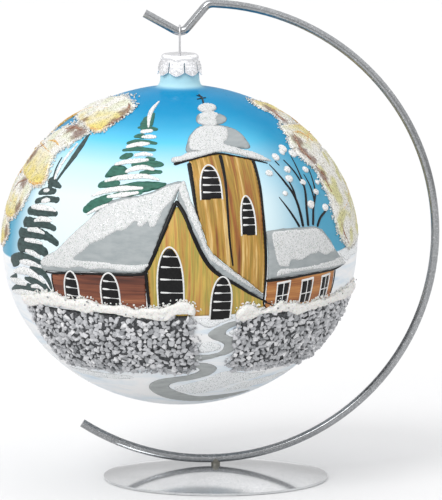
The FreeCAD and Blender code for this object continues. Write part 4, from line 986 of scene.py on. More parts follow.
BLOSSOMS = [
    # longitude, height and size of the dabs of snow on the bush
    (43.6, 42.9, 1.2), (51.0, 45.6, 1.2), (54.8, 43.2, 1.3), (36.4, 37.3, 1.1), (46.1, 37.8, 1.1),
    (44.8, 34.3, 1.2), (56.4, 36.6, 1.1), (51.1, 32.2, 1.1), (40.2, 28.9, 0.9), (56.2, 27.7, 1.1),
    (50.9, 23.2, 1.4), (58.6, 20.9, 1.3), (59.8, 31.2, 0.9), (48.8, 44.4, 0.9),
]
blossoms = Piece("bush_snow")
WIDE, HIGH = 1.75, 1.25                # of a dab, for its size
for number, (longitude, height, size) in enumerate(BLOSSOMS):
    ring = math.degrees(1.0 / radius_at(height))
    outline = [(longitude + size * WIDE * ring * math.cos(t), height + size * math.sin(t) * HIGH)
               for t in np.linspace(0, 2 * math.pi, 9)[:-1]]
    patch(blossoms, outline, 0.5, seed=230 + number, grid=0.6, step=0.4, edge=0.8, wobble=0.25, lumps=0.06, lift=0.1)
blossoms.finish(FIR_SNOW, "snow_paste")

# ---------------------------------------------------------------- path and snow on the ground

PATH_HIGH = [(19.4, -22.4), (14.8, -23.9), (11.2, -26.1), (9.6, -28.3), (10.9, -30.3), (13.8, -31.8), (15.9, -33.1),
             (16.1, -34.5), (15.3, -36.3), (12.2, -37.5), (4.0, -38.2), (4.0, -40.9), (9.0, -40.6), (14.7, -39.2),
             (18.8, -37.9), (21.4, -35.6), (21.8, -33.4), (21.0, -30.6), (17.9, -29.5), (16.2, -28.2), (16.5, -26.8),
             (18.4, -25.4), (22.4, -23.9)]
PATH_LOW = [(4.0, -41.6), (7.8, -41.6), (12.1, -42.2), (15.2, -43.9), (15.8, -45.6), (13.4, -48.0), (6.3, -50.1),
            (-2.0, -51.6), (-5.6, -53.2), (-4.6, -55.0), (0.0, -57.0), (7.0, -58.8), (15.2, -59.7), (32.0, -59.2),
            (52.0, -58.6), (50.0, -60.4), (34.0, -62.4), (14.0, -63.0), (-6.0, -61.6), (-14.0, -59.4), (-17.6, -56.2),
            (-16.2, -53.0), (-10.8, -50.2), (-3.7, -48.8), (3.0, -47.8), (7.3, -46.1), (7.9, -44.8), (5.6, -43.6)]
path = Piece("path_ribbon")
patch(path, PATH_HIGH, 0.14, seed=260, grid=1.0)
patch(path, PATH_LOW, 0.14, seed=261, grid=1.0)
path.finish(PATH_GREY, "path_grey_paint", ["garden_path"])

GROUND_PATCHES = [
    [(5.6, -20.9), (18.6, -20.9), (14.6, -23.2), (10.0, -25.6), (7.0, -24.2), (5.2, -22.6)],
    [(17.4, -27.4), (20.2, -26.0), (20.4, -29.6), (17.8, -28.8)],
    [(6.8, -33.2), (10.0, -31.6), (14.4, -33.0), (15.2, -34.6), (13.8, -36.2), (9.6, -37.0), (6.4, -36.2)],
    [(-3.4, -54.8), (4.0, -52.2), (12.0, -50.0), (19.0, -46.4), (26.0, -47.0), (34.0, -48.4), (44.0, -48.6),
     (40.0, -51.4), (28.0, -53.6), (16.0, -57.6), (6.0, -57.8)],
    [(40.0, -52.4), (58.0, -51.0), (74.0, -50.4), (60.0, -54.4), (44.0, -56.6), (28.0, -57.6), (30.0, -54.8)],
    [(-8.6, -47.4), (-2.0, -47.0), (4.0, -45.0), (6.8, -45.4), (3.0, -46.9), (-4.0, -48.0)],
    [(-64.0, -48.6), (-50.0, -48.4), (-34.0, -48.6), (-22.0, -49.4), (-30.0, -51.0), (-46.0, -51.4),
     (-60.0, -50.6)],
    [(62.8, 1.4), (66.0, 2.6), (78.0, 3.0), (88.0, 1.6), (88.0, -3.0), (76.0, -2.0), (69.0, -3.2)],
]
ground = Piece("ground_snow")
for number, area in enumerate(GROUND_PATCHES):
    patch(ground, area, 0.16, seed=270 + number, wobble=0.5, grid=1.0, lumps=0.04, lift=0.02, edge=0.9)
ground.finish(GROUND_SNOW, "snow_paste")


# ---------------------------------------------------------------- stone walls and their snow

WALLS = {
    # the wall's west and east ends as (height, longitude) pairs, from the top down
    "left": ([(-20.0, -63.0), (-27.0, -62.0), (-34.0, -61.6), (-40.0, -60.6), (-46.0, -57.0)],
             [(-20.0, 4.6), (-27.0, 3.8), (-35.0, 6.2), (-41.0, 7.2), (-46.0, 2.6)]),
    "right": ([(-20.0, 19.8), (-29.0, 20.4), (-36.0, 21.6), (-42.5, 19.6), (-46.0, 24.0)],
              [(-20.0, 117.0), (-30.0, 116.0), (-38.0, 117.0), (-46.0, 112.0)]),
}
TOP, BOTTOM = -19.0, -45.6            # heights of the walls' edges
STONE_PITCH = 2.4                     # millimetres between the chips of a wall


def chip_shapes(number):
    """A number of crushed-stone shapes: convex hulls of random points, as (points, triangles)."""
    import bmesh
    shapes = []
    for _ in range(number):
        directions = random.normal(size=(11, 3))
        directions /= np.linalg.norm(directions, axis=1)[:, None]
        cloud = directions * random.uniform(0.78, 1.12, (11, 1))
        mesh = bmesh.new()
        for point in cloud:
            mesh.verts.new(point)
        bmesh.ops.convex_hull(mesh, input=mesh.verts)
        mesh.verts.index_update()
        bmesh.ops.recalc_face_normals(mesh, faces=mesh.faces)
        shapes.append((np.array([v.co[:] for v in mesh.verts]), [[v.index for v in f.verts] for f in mesh.faces]))
        mesh.free()
    return shapes


CHIPS = chip_shapes(24)


def spin_matrix(a, b, c):
    """A rotation from three angles."""
    ca, sa, cb, sb, cc, sc = math.cos(a), math.sin(a), math.cos(b), math.sin(b), math.cos(c), math.sin(c)
    return (np.array([[ca, -sa, 0], [sa, ca, 0], [0, 0, 1]]) @ np.array([[cb, 0, sb], [0, 1, 0], [-sb, 0, cb]])
            @ np.array([[1, 0, 0], [0, cc, -sc], [0, sc, cc]]))


def stone_tone(middle=0.5, darkest=0.0):
    """A chip's random shade: 0 for the darkest stone and 1 for the palest."""
    return float(np.clip(random.normal(middle, 0.2), darkest, 1))


def add_chip(piece, longitude, height, size, lift, tone, flatness=0.72, paint=(1.0, 1.0, 1.0)):
    """One chip set in the paste at a place on the ball."""
    points, faces = CHIPS[int(random.integers(len(CHIPS)))]
    turned = (points * random.uniform(0.8, 1.2, 3) * size) @ spin_matrix(*random.uniform(0, 2 * math.pi, 3)).T
    place = np.array([[longitude, height]])
    centre = on_ball(place, [lift])[0]
    out = on_ball(place, [lift + 1.0])[0] - centre
    turn = math.radians(longitude + TURN)
    east = np.array([math.cos(turn), math.sin(turn), 0.0])
    north = np.cross(out, east)
    body = turned * np.array([1, 1, flatness])
    piece.add(centre + body[:, :1] * east + body[:, 1:2] * north + body[:, 2:] * out, faces, None, tone, paint)


def end_at(ragged, height):
    """Longitude of a wall's ragged end at a height."""
    heights = [row[0] for row in ragged][::-1]
    return np.interp(height, heights, [row[1] for row in ragged][::-1])


def wall_band(side):
    """One wall: a bed of paste, dark grey as painted shade for the crevices between the chips, and the chips pressed
    into it.
    """
    west, east = WALLS[side]
    bed = Piece("wall_crevice_shade_" + side)
    high, low = TOP - 0.6, BOTTOM + 0.8
    heights = np.linspace(high, low, 9)
    right_end = [(end_at(east, h) - 0.9, h) for h in heights]
    left_end = [(end_at(west, h) + 0.9, h) for h in heights[::-1]]
    around = np.arange(left_end[0][0] + 4, right_end[-1][0] - 2, 6.0)
    outline = right_end + [(x, low) for x in around[::-1]] + left_end + [(x, high) for x in around]
    patch(bed, outline, 0.5, corners=True, grid=1.5, step=1.2, lumps=0.12, lump_size=2.0, seed=300)
    bed.finish(CREVICE_SHADE, "crushed_stone")
    stones = Piece("stones_" + side)
    arc_top, arc_bottom = np.interp([TOP, BOTTOM], HEIGHTS, ARCS)
    rows = np.arange(arc_bottom - 0.2, arc_top + 0.2, STONE_PITCH * 0.84)
    for number, row in enumerate(rows):
        height = float(np.interp(row, ARCS, HEIGHTS))
        spacing = math.degrees(STONE_PITCH / radius_at(height))
        begin = end_at(west, height) + spacing * 0.5 * (number % 2)
        for longitude in np.arange(begin, end_at(east, height), spacing):
            jitter = random.normal(0, 0.2, 2)
            where = float(np.interp(row + jitter[1] * STONE_PITCH, ARCS, HEIGHTS))
            size = random.uniform(1.2, 1.85)
            edge = number in (0, len(rows) - 1)
            if edge and random.random() < 0.25:
                continue
            add_chip(stones, longitude + jitter[0] * spacing, where, size, random.uniform(0.42, 0.85),
                     stone_tone(0.62, 0.1))
    for _ in range(260):               # crumbs under the wall, and then at its ends
        arc = arc_bottom - abs(random.normal(0, 0.9))
        height = float(np.interp(arc, ARCS, HEIGHTS))
        longitude = random.uniform(end_at(west, height), end_at(east, height))
        add_chip(stones, longitude, height, random.uniform(0.3, 0.7), 0.3, stone_tone())
    for end in (west, east):
        for _ in range(60):
            height = random.uniform(BOTTOM, TOP)
            add_chip(stones, end_at(end, height) + random.normal(0, 1.0), height, random.uniform(0.3, 0.8), 0.3,
                     stone_tone())
    stones.finish(STONE, "crushed_stone", ["stone_wall_" + side], smooth=False)


RIDGE_LEFT_TOP = [(-66, -17.4), (-57.4, -14.9), (-51.4, -13.4), (-45.7, -12.7), (-40, -14.5), (-35.9, -14.0),
                  (-32, -13.7), (-28.1, -15.3), (-23.4, -15.9), (-19.2, -15.5), (-15.2, -16.7), (-9.1, -16.0),
                  (-6, -16.0), (-2.4, -14.0), (0.6, -13.1), (3.3, -14.4), (5.0, -17.2), (4.6, -19.6)]
RIDGE_LEFT_LOW = [(3.3, -19.4), (-1.7, -19.6), (-3.8, -21.6), (-7.4, -22.2), (-11.4, -21.2), (-17.2, -21.0),
                  (-22.5, -19.8), (-28.2, -19.4), (-33.1, -20.3), (-37.9, -19.3), (-44.2, -18.8), (-52.4, -19.2),
                  (-62.2, -21.2)]
RIDGE_RIGHT_TOP = [(18.6, -20.0), (19.3, -17.4), (21.5, -15.4), (24.4, -15.8), (26.3, -17.7), (28.8, -18.0),
                   (32.1, -17.0), (34.5, -15.0), (37.5, -16.2), (41.4, -16.5), (45.5, -17.9), (51.4, -16.7),
                   (58.1, -16.6), (64.2, -15.9), (71.1, -15.2), (77.4, -14.2)]
RIDGE_RIGHT_LOW = [(83.0, -20.2), (73.9, -20.2), (63.5, -19.9), (55.5, -20.8), (48.6, -21.2), (42.9, -22.4),
                   (37.8, -20.4), (34.5, -20.3), (28.2, -20.3), (25.1, -21.8), (21.5, -23.0), (19.0, -21.6)]


def ridge(side):
    """The lumpy snow along the top of a wall, with crumbs beside it and a few chips showing through."""
    if side == "left":
        outline = RIDGE_LEFT_TOP + RIDGE_LEFT_LOW
    else:
        around = np.arange(88.0, 121.0, 4.0)
        high = [(x, -15.8 + 1.4 * noise.noise(Vector((x / 7, 0, 8)))) for x in around]
        low = [(x, -20.4 + 1.2 * noise.noise(Vector((x / 7, 5, 8)))) for x in around[::-1]]
        outline = RIDGE_RIGHT_TOP + high + low + RIDGE_RIGHT_LOW
    snow = Piece("wall_snow_" + side)
    patch(snow, outline, 1.55, grid=0.7, step=0.5, edge=1.7, wobble=0.55, lumps=0.62, lump_size=1.3,
          seed={"left": 340, "right": 360}[side])
    specks = Piece("wall_specks_" + side)
    top_run = [place for place in outline if place[1] > -18.2]
    for place in curve_through(top_run, 1.0):
        for _ in range(3):
            size = abs(random.normal(0.34, 0.2)) + 0.16
            add_chip(snow, place[0] + random.normal(0, 0.9), place[1] + random.normal(0.1, 0.5), size,
                     random.uniform(0.1, 0.5), 0.5, 0.9)
        if random.random() < 0.30:
            add_chip(specks, place[0] + random.normal(0, 0.8), place[1] - random.uniform(-0.4, 4.0),
                     random.uniform(0.3, 0.6), 1.6, random.uniform(0.0, 0.3))
    snow.finish(SNOW, "snow_paste", ["snow_ridge_" + side])
    specks.finish(STONE, "crushed_stone", smooth=False)


for wall_side in ("left", "right"):
    wall_band(wall_side)
    ridge(wall_side)


# ---------------------------------------------------------------- glittered petals

def petal_paint(gold_side, tips, gold=(240, 218, 96), centre=(250, 248, 240), mint=(238, 240, 216)):
    """Colours for a petal: pale in the middle, gold towards one side, brown round its (place, radius) tips."""
    def colour(places, flat, distance):
        pale, fresh, yellow = (np.array(srgb(*c)) for c in (centre, mint, gold))
        brown, amber = np.array(srgb(112, 62, 44)), np.array(srgb(224, 158, 50))
        patches = ripple(flat, 6.0, 11)[:, None]
        result = pale + (fresh - pale) * smooth_step(-0.1, 0.35, patches)
        direction = np.array(gold_side, float)
        direction /= np.linalg.norm(direction)
        reach = flat @ direction
        share = (reach - reach.min()) / max(1e-6, reach.max() - reach.min())
        strength = smooth_step(0.35, 0.9, share + 0.25 * ripple(flat, 4.0, 5))[:, None]
        result = result + (yellow - result) * strength * 0.85
        rim = (1 - smooth_step(0.4, 2.2, distance))[:, None] * smooth_step(0.6, 0.95, share)[:, None]
        result = result + (amber - result) * rim * 0.7
        white = (1 - smooth_step(0.3, 1.6, distance + 0.5 * ripple(flat, 1.5, 9)))[:, None]
        result = result + (np.array([0.90, 0.90, 0.89]) - result) * white * 0.6
        for longitude, height, radius in tips:
            gap = np.hypot(np.radians(places[:, 0] - longitude) * radius_at(places[:, 1]),
                           np.interp(places[:, 1], HEIGHTS, ARCS) - np.interp(height, HEIGHTS, ARCS))
            strength = (1 - smooth_step(radius * 0.7, radius * 1.5, gap + 1.6 * ripple(flat, 1.6, 3)))[:, None]
            result = result + (brown - result) * strength * smooth_step(0.1, 0.9, distance)[:, None] * 0.8
        return result
    return colour


TIP = 8                                # which place of a leaf outline is its tip
HEART_GOLD = srgb(206, 150, 48)


def leaf_outline(longitude, height, direction, length, width):
    """A pointed petal from its foot at a place, towards a direction (degrees from level), with wavy sides."""
    flat = []
    for side in (1, -1):
        run = []
        for share in np.linspace(0.0, 1.0, TIP + 1):
            half = width / 2 * math.sin(math.pi * min(1.0, share ** 0.8 * 0.94 + 0.06))
            half *= 1 + 0.1 * math.sin(9 * share)
            run.append((share * length, side * half))
        flat += run if side == 1 else run[::-1][1:]
    turn = math.radians(direction)
    arc = float(np.interp(height, HEIGHTS, ARCS))
    places = []
    for along, across in flat:
        up = arc + along * math.sin(turn) + across * math.cos(turn)
        level = float(np.interp(up, ARCS, HEIGHTS))
        right = along * math.cos(turn) - across * math.sin(turn)
        places.append((longitude + math.degrees(right / float(radius_at(level))), level))
    return places


def heart_chips(piece, heart, number, spread, lifts):
    """A little heap of golden chips at the heart of a flower."""
    for _ in range(number):
        add_chip(piece, heart[0] + random.normal(0, spread[0]), heart[1] + random.normal(0, spread[1]),
                 random.uniform(0.5, 0.9), random.uniform(*lifts), 0.5, 0.9, HEART_GOLD)


PETALS_LEFT = [
    # outline and colours of each petal
    ([(-36.4, 60.4), (-40.0, 62.2), (-52.0, 63.4), (-66.0, 64.0), (-80.0, 63.4), (-94.0, 61.4), (-104.0, 58.0),
      (-96.0, 56.0), (-82.0, 55.0), (-70.0, 54.2), (-62.0, 53.8), (-54.0, 52.4), (-48.0, 52.0), (-43.0, 53.0),
      (-40.0, 56.0), (-38.2, 57.8)],
     petal_paint((0.3, -1.0), [(-38.0, 59.6, 3.4), (-41.0, 56.0, 2.2), (-66.0, 54.6, 2.4)])),
    ([(-52.2, 51.6), (-58.4, 53.2), (-68.0, 53.4), (-78.0, 51.6), (-88.0, 46.0), (-94.0, 39.0), (-92.0, 33.6),
      (-84.0, 31.4), (-76.0, 30.4), (-69.8, 29.0), (-64.0, 28.8), (-59.6, 29.8), (-58.0, 32.4), (-60.4, 37.0),
      (-62.0, 41.6), (-61.2, 44.2), (-57.6, 45.8), (-55.2, 48.4)],
     petal_paint((0.1, -1.0), [(-57.0, 51.0, 4.2), (-68.0, 52.0, 3.6), (-85.0, 38.0, 4.0)])),
    ([(-66.4, 29.6), (-73.0, 31.2), (-84.0, 30.6), (-97.0, 27.0), (-104.0, 21.0), (-96.0, 15.6), (-84.0, 13.4),
      (-75.0, 13.4), (-69.0, 17.6), (-66.0, 23.6)],
     petal_paint((0.0, -1.0), [(-74.0, 29.6, 3.4), (-70.0, 19.0, 2.4)])),
    ([(-74.6, 8.4), (-80.0, 13.2), (-90.0, 15.0), (-103.0, 12.4), (-110.0, 7.0), (-103.0, 1.8), (-90.0, 0.6),
      (-80.0, 2.6)], petal_paint((0.3, -1.0), [(-77.0, 8.0, 2.6)])),
]
PETALS_RIGHT = [
    ([(70.0, 60.6), (76.0, 61.4), (82.0, 61.8), (90.0, 60.4), (102.0, 58.6), (108.0, 55.6), (100.0, 53.0),
      (86.0, 52.6), (77.0, 52.6), (72.0, 52.6), (70.0, 54.2), (73.0, 56.6), (71.0, 58.8)],
     petal_paint((0.6, 1.0), [(79.0, 58.0, 3.4), (73.6, 54.4, 2.6)])),
    ([(63.0, 52.6), (67.0, 53.2), (78.0, 52.4), (92.0, 50.6), (101.0, 46.6), (94.0, 43.0), (80.0, 40.6),
      (70.0, 38.0), (64.0, 36.0), (60.0, 38.4), (56.6, 43.4), (57.0, 46.6), (60.6, 49.0)],
     petal_paint((0.9, 1.0), [(65.0, 47.0, 3.0), (62.4, 42.8, 2.8), (64.6, 39.2, 2.6)])),
    ([(67.4, 38.6), (63.2, 35.6), (62.0, 30.4), (62.6, 24.0), (62.2, 17.0), (63.2, 10.4), (67.0, 4.6), (72.0, 2.0),
      (84.0, 4.0), (98.0, 10.0), (107.0, 20.0), (104.0, 31.0), (93.0, 39.2), (80.0, 41.0)],
     petal_paint((1.0, -0.1), [(65.4, 33.0, 2.6)], gold=(214, 206, 104), mint=(226, 222, 160))),
]
# the flowers at the ball's sides: their hearts and the veins of their petals
SIDE_HEARTS = {"left": (-108.0, 38.0), "right": (110.0, 42.0)}
SIDE_VEINS = {
    "left": [((-103.0, 47.0), (-84.0, 58.0), (-60.0, 60.0)), ((-102.0, 42.0), (-82.0, 43.0), (-66.0, 42.0)),
             ((-103.0, 34.0), (-88.0, 22.0), (-76.0, 20.0)), ((-106.0, 28.0), (-98.0, 10.0), (-84.0, 8.0))],
    "right": [((105.0, 48.0), (92.0, 56.0), (76.0, 58.6)), ((104.0, 44.0), (86.0, 47.0), (70.0, 45.0)),
              ((104.0, 36.0), (90.0, 24.0), (70.0, 18.0)), ((106.0, 32.0), (96.0, 16.0), (80.0, 8.0))],
}


def walk(start, direction, distance):
    """The place reached on the ball at a distance from a place, towards a direction from level."""
    turn = math.radians(direction)
    up = float(np.interp(start[1], HEIGHTS, ARCS)) + distance * math.sin(turn)
    level = float(np.interp(up, ARCS, HEIGHTS))
    return start[0] + math.degrees(distance * math.cos(turn) / float(radius_at(level))), level


for wall_side, facing, petals in (("left", 180.0, PETALS_LEFT), ("right", 0.0, PETALS_RIGHT)):
    for spread in (-78.0, -28.0, 22.0, 70.0):
        heart = SIDE_HEARTS[wall_side]
        petals.append((leaf_outline(*walk(heart, facing + spread, 2.0), facing + spread, 27.0, 19.0), None))
        SIDE_VEINS[wall_side].append(tuple(walk(heart, facing + spread, part) for part in (6.0, 13.0, 21.0)))
BLOSSOM = [
    # direction from level, length and width of each petal of the flower at the back
    (74.0, 27.0, 17.0), (106.0, 27.0, 17.0), (250.0, 24.0, 15.0), (290.0, 24.0, 15.0), (42.0, 30.0, 17.0),
    (138.0, 30.0, 17.0), (2.0, 34.0, 18.0), (178.0, 34.0, 18.0), (-30.0, 28.0, 16.0), (210.0, 28.0, 16.0),
]
EDGE_BROWN = [
    # the darker brush lines on the petals' edges: widths and places
    ([1.0, 2.6, 2.0], (81.0, 58.2), (75.0, 56.2), (73.4, 53.8)),
    ([1.2, 2.4, 2.2, 1.2], (67.6, 49.2), (63.4, 46.2), (61.9, 42.7), (64.3, 39.1)),
    ([0.6, 1.4, 1.2, 0.6], (63.4, 37.3), (65.6, 33.2), (65.3, 28.9), (66.2, 24.2)),
    ([0.4, 1.0, 0.6], (65.6, 14.9), (67.0, 8.6), (70.4, 3.6)),
    ([0.6, 1.8, 1.6], (-48.0, 62.4), (-42.0, 61.4), (-38.2, 59.2)),
    ([0.6, 1.0, 1.0], (-45.0, 53.4), (-41.0, 56.0), (-38.4, 58.2)),
    ([1.2, 2.0, 1.6], (-74.0, 50.6), (-66.0, 52.0), (-57.6, 51.8)),
    ([0.6, 1.2, 0.8], (-84.0, 34.3), (-86.6, 39.6), (-80.2, 44.0)),
    ([0.8, 1.6, 0.8], (-83.7, 23.5), (-79.8, 27.7), (-72.0, 30.4)),
]
EDGE_AMBER = [
    ([0.8, 2.0, 1.2], (68.6, 49.8), (76.0, 48.8), (81.4, 44.8)),
    ([0.8, 1.4, 0.8], (-54.0, 53.0), (-48.0, 52.8), (-44.2, 53.6)),
    ([0.8, 1.4, 0.8], (-70.0, 30.0), (-64.0, 29.8), (-60.0, 30.8)),
    ([0.6, 1.4, 0.8], (-80.0, 45.0), (-72.0, 46.0), (-64.0, 45.0)),
]
for wall_side, petals in (("left", PETALS_LEFT), ("right", PETALS_RIGHT)):
    leaf = Piece("petals_" + wall_side)
    for number, (outline, colour) in enumerate(petals):
        colour = colour or petal_paint((1.0 if wall_side == "left" else -1.0, -0.4), [(*outline[TIP], 4.0)])
        patch(leaf, outline, 0.72, lift=0.06, edge=1.1, grid=0.8, step=0.5, wobble=0.7, lumps=0.22, lump_size=1.1,
              seed=400 + 10 * number, colour=colour)
        middle = float(np.mean([p[0] for p in outline]))
        rim = from_flat(curve_through(to_flat(outline, middle), 0.7, closed=True), middle)
        tints = colour(rim, to_flat(rim, middle), np.full(len(rim), 0.3))
        for place, tint in zip(rim, tints):
            for _ in range(3):
                share = random.uniform(0.0, 0.8)
                shade = tint * share + np.array(srgb(250, 250, 248)) * (1 - share)
                add_chip(leaf, place[0] + random.normal(0, 0.8), place[1] + random.normal(0, 0.5),
                         random.uniform(0.25, 0.62), random.uniform(0.05, 0.6), 0.5, 0.9, shade)
    heart_chips(leaf, SIDE_HEARTS[wall_side], 90, (2.2, 1.7), (0.5, 1.1))
    leaf.finish(PETAL_GLITTER, "gold_glitter", ["glitter_petals_" + wall_side])

blossom = Piece("blossom_back")
BACK_HEART = (180.0, 16.0)
for number, (direction, length, width) in enumerate(BLOSSOM):
    heading = math.radians(direction)
    outline = leaf_outline(BACK_HEART[0] + 4.0 * math.cos(heading), BACK_HEART[1] + 3.0 * math.sin(heading),
                           direction, length, width)
    tint = petal_paint((-math.cos(heading), -math.sin(heading)), [(*outline[TIP], 5.0)], gold=(222, 196, 96))
    patch(blossom, outline, 0.5 + 0.12 * (number % 3), lift=0.06 + 0.1 * (number % 4), edge=1.0, grid=1.0, step=0.7,
          wobble=0.5, lumps=0.16, lump_size=1.2, seed=500 + 7 * number, colour=tint)
heart_chips(blossom, BACK_HEART, 70, (1.6, 1.6), (0.6, 1.2))
blossom.finish(PETAL_GLITTER, "gold_glitter")
edges_brown, edges_amber = Piece("petal_edges_brown"), Piece("petal_edges_amber")
strokes(edges_brown, EDGE_BROWN, 0.4, seed=540, lift=0.6, ragged=0.4)
strokes(edges_amber, EDGE_AMBER, 0.4, seed=560, lift=0.6, ragged=0.4)
for number, wall_side in enumerate(("left", "right")):
    strokes(edges_amber, [([1.3, 0.9, 0.4], *vein) for vein in SIDE_VEINS[wall_side]], 0.35, seed=580 + 20 * number,
            lift=0.62, ragged=0.3)
edges_brown.finish(BROWN_GLITTER, "gold_glitter")
edges_amber.finish(AMBER_GLITTER, "gold_glitter")


# ---------------------------------------------------------------- cap

def make_cap():
    """The stamped crown cap: a drilled top, a rolled shoulder, and eight embossed petals with a lace edge."""
    top_z = cap_high.z / MM
    petals = 8
    pitch = 360 / petals               # degrees from petal to petal
    first = -9.0                       # longitude of the first petal's middle
    across = 24                        # columns in each petal
    segments = across * petals
    flat_radius, hole_radius, hole_out = 6.5, 0.7, 3.05   # of the top, and of the two holes for the hanger
    cap = Piece("cap_shell")
    angles = np.radians(first - pitch / 2 + np.arange(segments) * 360 / segments)
    profile = [(flat_radius, -0.02), (7.0, -0.10), (7.4, -0.32), (7.72, -0.66), (7.95, -1.05), (8.05, -1.6),
               (8.14, -2.3)]
    rings = [np.column_stack([radius * np.sin(angles), -radius * np.cos(angles), np.full(segments, top_z + drop)])
             for radius, drop in profile]
    crimp = 0.10 * np.cos(petals * (angles - math.radians(first)))
    for row in (4, 5, 6):
        rings[row][:, :2] *= (1 + (crimp * (row - 3) / 3 / 8.0))[:, None]
    points = np.concatenate(rings)
    faces = ring_faces(len(profile), segments)
    rim = [(flat_radius * math.sin(t), -flat_radius * math.cos(t)) for t in angles]
    holes = [[(hole_radius * math.cos(t), side * hole_out + hole_radius * math.sin(t))
              for t in np.linspace(0, 2 * math.pi, 17)[:-1]] for side in (1, -1)]

    def to_hole(x, y):
        """Distance from a place on the top to the middle of the nearer hole."""
        return min(math.hypot(x, y - hole_out), math.hypot(x, y + hole_out))

    grid = [(x, y) for x in np.arange(-6, 6.1, 1.0) for y in np.arange(-6, 6.1, 1.0)
            if math.hypot(x, y) < 5.9 and to_hole(x, y) > 1.2]
    flat = rim + holes[0] + holes[1] + grid
    edges, begin = [], 0
    for loop in (rim, *holes):
        edges += [(begin + k, begin + (k + 1) % len(loop)) for k in range(len(loop))]
        begin += len(loop)
    made = geometry.delaunay_2d_cdt([Vector(p) for p in flat], edges, [], 1, 1e-7)
    disc = np.array([tuple(p) for p in made[0]])
    keep = []
    for face in made[2]:
        middle = disc[list(face)].mean(0)
        if math.hypot(*middle) < flat_radius and to_hole(*middle) > 0.66:
            keep.append(facing_up(tuple(face), disc))
    offset = len(points)
    lookup = {}
    for index, point in enumerate(disc):
        gaps = np.hypot(points[:segments, 0] - point[0], points[:segments, 1] - point[1])
        near = int(gaps.argmin())
        lookup[index] = near if gaps[near] < 1e-4 else None
    extra = []
    for index, point in enumerate(disc):
        if lookup[index] is None:
            lookup[index] = offset + len(extra)
            reach = math.hypot(*point) / flat_radius
            level = top_z - 0.02 + 0.10 * (1 - reach ** 2) - 0.1 * (1 - reach) * reach * 4
            extra.append((point[0], point[1], level))
    points = np.concatenate([points, np.array(extra)])
    faces += [tuple(lookup[i] for i in face) for face in keep]

    dots = [(0, 2.15), (1.35, 1.75), (-1.35, 1.75), (1.75, -1.2), (-1.75, -1.2), (0, -2.35), (1.9, 0.4), (-1.9, 0.4)]

    def emboss(s, drop):
        """Height of the stamped star and dots at a share across the petal and a drop below the top."""
        x, y = s * 3.1, 5.3 - drop
        height = 0.0
        for spoke in range(6):
            angle = math.radians(60 * spoke + 30)
            along = x * math.cos(angle) + y * math.sin(angle)
            off = -x * math.sin(angle) + y * math.cos(angle)
            if 0.25 < along < 1.55:
                height = max(height, 0.30 * math.exp(-(off / 0.20) ** 2))
        for dx, dy in dots:
            height = max(height, 0.26 * math.exp(-((x - dx) ** 2 + (y - dy) ** 2) / 0.07))
        border = 0.16 * math.exp(-((abs(s) - 0.90) / 0.05) ** 2)
        return max(height, border)

    rows = 22
    for petal in range(petals):
        start = petal * across
        base = len(points)
        body = []
        for row in range(1, rows + 1):
            t = row / rows
            for column in range(across + 1):
                s = column / across * 2 - 1
                tip = -6.9 - 1.75 * (1 - abs(s) ** 1.5) - 0.22 * abs(math.sin(4.5 * math.pi * s))
                drop = -2.3 + (tip + 2.3) * t
                narrow = 1 - 0.045 * min(1.0, t * 3)
                radius = 8.14 + 0.98 * t + 0.28 * (1 - s * s) * min(1.0, 2 * t) + emboss(s, -drop) * min(1.0, 6 * t)
                angle = math.radians(first + pitch * petal) + s * narrow * math.radians(pitch / 2)
                body.append((radius * math.sin(angle), -radius * math.cos(angle), top_z + drop))
        points = np.concatenate([points, np.array(body)])

        def index(row, column):
            if row == 0:
                return 6 * segments + (start + column) % segments
            return base + (row - 1) * (across + 1) + column

        for row in range(rows):
            for column in range(across):
                faces.append((index(row, column), index(row + 1, column), index(row + 1, column + 1),
                              index(row, column + 1)))
    points[:, :2] += CENTRE[:2]
    cap.add(points, faces)
    shell_piece = cap.finish(cap_foil(), "cap_foil", ["ornament_cap"], body="cap")
    sheet = shell_piece.modifiers.new("sheet", "SOLIDIFY")
    sheet.thickness = 0.22 * MM
    sheet.offset = -1.0
    return shell_piece


make_cap()


# ---------------------------------------------------------------- stand

def dress(node, material):
    """Gives a CAD node, whose shape stays, its material."""
    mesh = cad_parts[node].data
    mesh.materials.clear()
    mesh.materials.append(material)


STAND = silver_lacquer("stand_lacquer", (172, 174, 176), 0.13)
FOOT = silver_lacquer("foot_lacquer", (238, 240, 242), 0.07)
PLATED = plated_steel()
dress("hoop_wire", STAND)
dress("base_dome", FOOT)
for fastener in ("hoop_stud", "base_washer", "base_nut"):
    dress(fastener, PLATED)
dress("hanger_wire", spring_steel())


# ---------------------------------------------------------------- studio

def make_floor():
    """A large pale sheet just under the foot."""
    mesh = bpy.data.meshes.new("studio_floor")
    size, level = 9.0, -0.0002
    corners = [(-size, -size, level), (size, -size, level), (size, size, level), (-size, size, level)]
    mesh.from_pydata(corners, [], [(0, 1, 2, 3)])
    floor = bpy.data.objects.new("studio_floor", mesh)
    mesh.materials.append(pale_floor())
    bpy.context.scene.collection.objects.link(floor)


def area_light(name, place, aim, size, power, colour=(1.0, 1.0, 1.0)):
    light = bpy.data.lights.new(name, "AREA")
    light.shape, light.size, light.energy, light.color = "DISK", size, power, colour
    lamp = bpy.data.objects.new(name, light)
    lamp.location = place
    lamp.rotation_euler = (Vector(aim) - Vector(place)).to_track_quat("-Z", "Y").to_euler()
    bpy.context.scene.collection.objects.link(lamp)


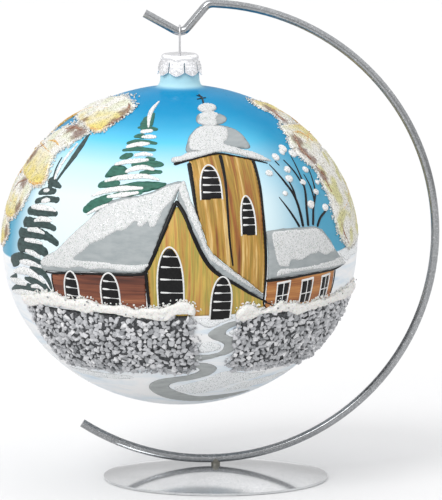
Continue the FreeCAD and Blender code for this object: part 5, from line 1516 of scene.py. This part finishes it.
def sun_light(name, towards, spread, strength):
    light = bpy.data.lights.new(name, "SUN")
    light.energy, light.angle = strength, math.radians(spread)
    lamp = bpy.data.objects.new(name, light)
    lamp.rotation_euler = Vector(towards).to_track_quat("Z", "Y").to_euler()
    bpy.context.scene.collection.objects.link(lamp)


def make_world():
    """A bright tent: white above and greyer towards the horizon."""
    world = bpy.data.worlds.new("studio")
    bpy.context.scene.world = world
    world.use_nodes = True
    tree = world.node_tree
    background = tree.nodes["Background"]
    place = tree.nodes.new("ShaderNodeTexCoord")
    split = tree.nodes.new("ShaderNodeSeparateXYZ")
    tree.links.new(place.outputs["Generated"], split.inputs[0])
    ramp = tree.nodes.new("ShaderNodeValToRGB")
    tree.links.new(split.outputs["Z"], ramp.inputs["Fac"])
    stops = [(0.0, 0.55), (0.14, 0.6), (0.5, 1.16), (1.0, 1.26)]
    while len(ramp.color_ramp.elements) < len(stops):
        ramp.color_ramp.elements.new(0.5)
    for point, (position, level) in zip(ramp.color_ramp.elements, stops):
        point.position = position
        point.color = (level, level, level * 1.01, 1.0)
    tree.links.new(ramp.outputs["Color"], background.inputs["Color"])
    background.inputs["Strength"].default_value = 1.0


make_floor()
make_world()
sun_light("sun", (-0.6, -0.75, 1.0), 24.0, 0.9)
area_light("key", (-0.5, -1.0, 0.7), (0, 0, 0.1), 0.35, 2.5)

AIM = Vector(((dome_low.x + dome_high.x) / 2 + 2.3 * MM, 0.0, 97.6 * MM))
DISTANCE, ELEVATION = 4.4, math.radians(8.3)
camera_data = bpy.data.cameras.new("camera")
camera_data.lens = 748.0
camera_data.sensor_width = 36.0
camera_data.clip_start, camera_data.clip_end = 0.1, 30.0
camera = bpy.data.objects.new("camera", camera_data)
back = Vector((0.0, -math.cos(ELEVATION), math.sin(ELEVATION)))
camera.location = AIM + back * DISTANCE
camera.rotation_euler = (-back).to_track_quat("-Z", "Y").to_euler()
bpy.context.scene.collection.objects.link(camera)
bpy.context.scene.camera = camera
bpy.context.scene.view_settings.view_transform = "Standard"
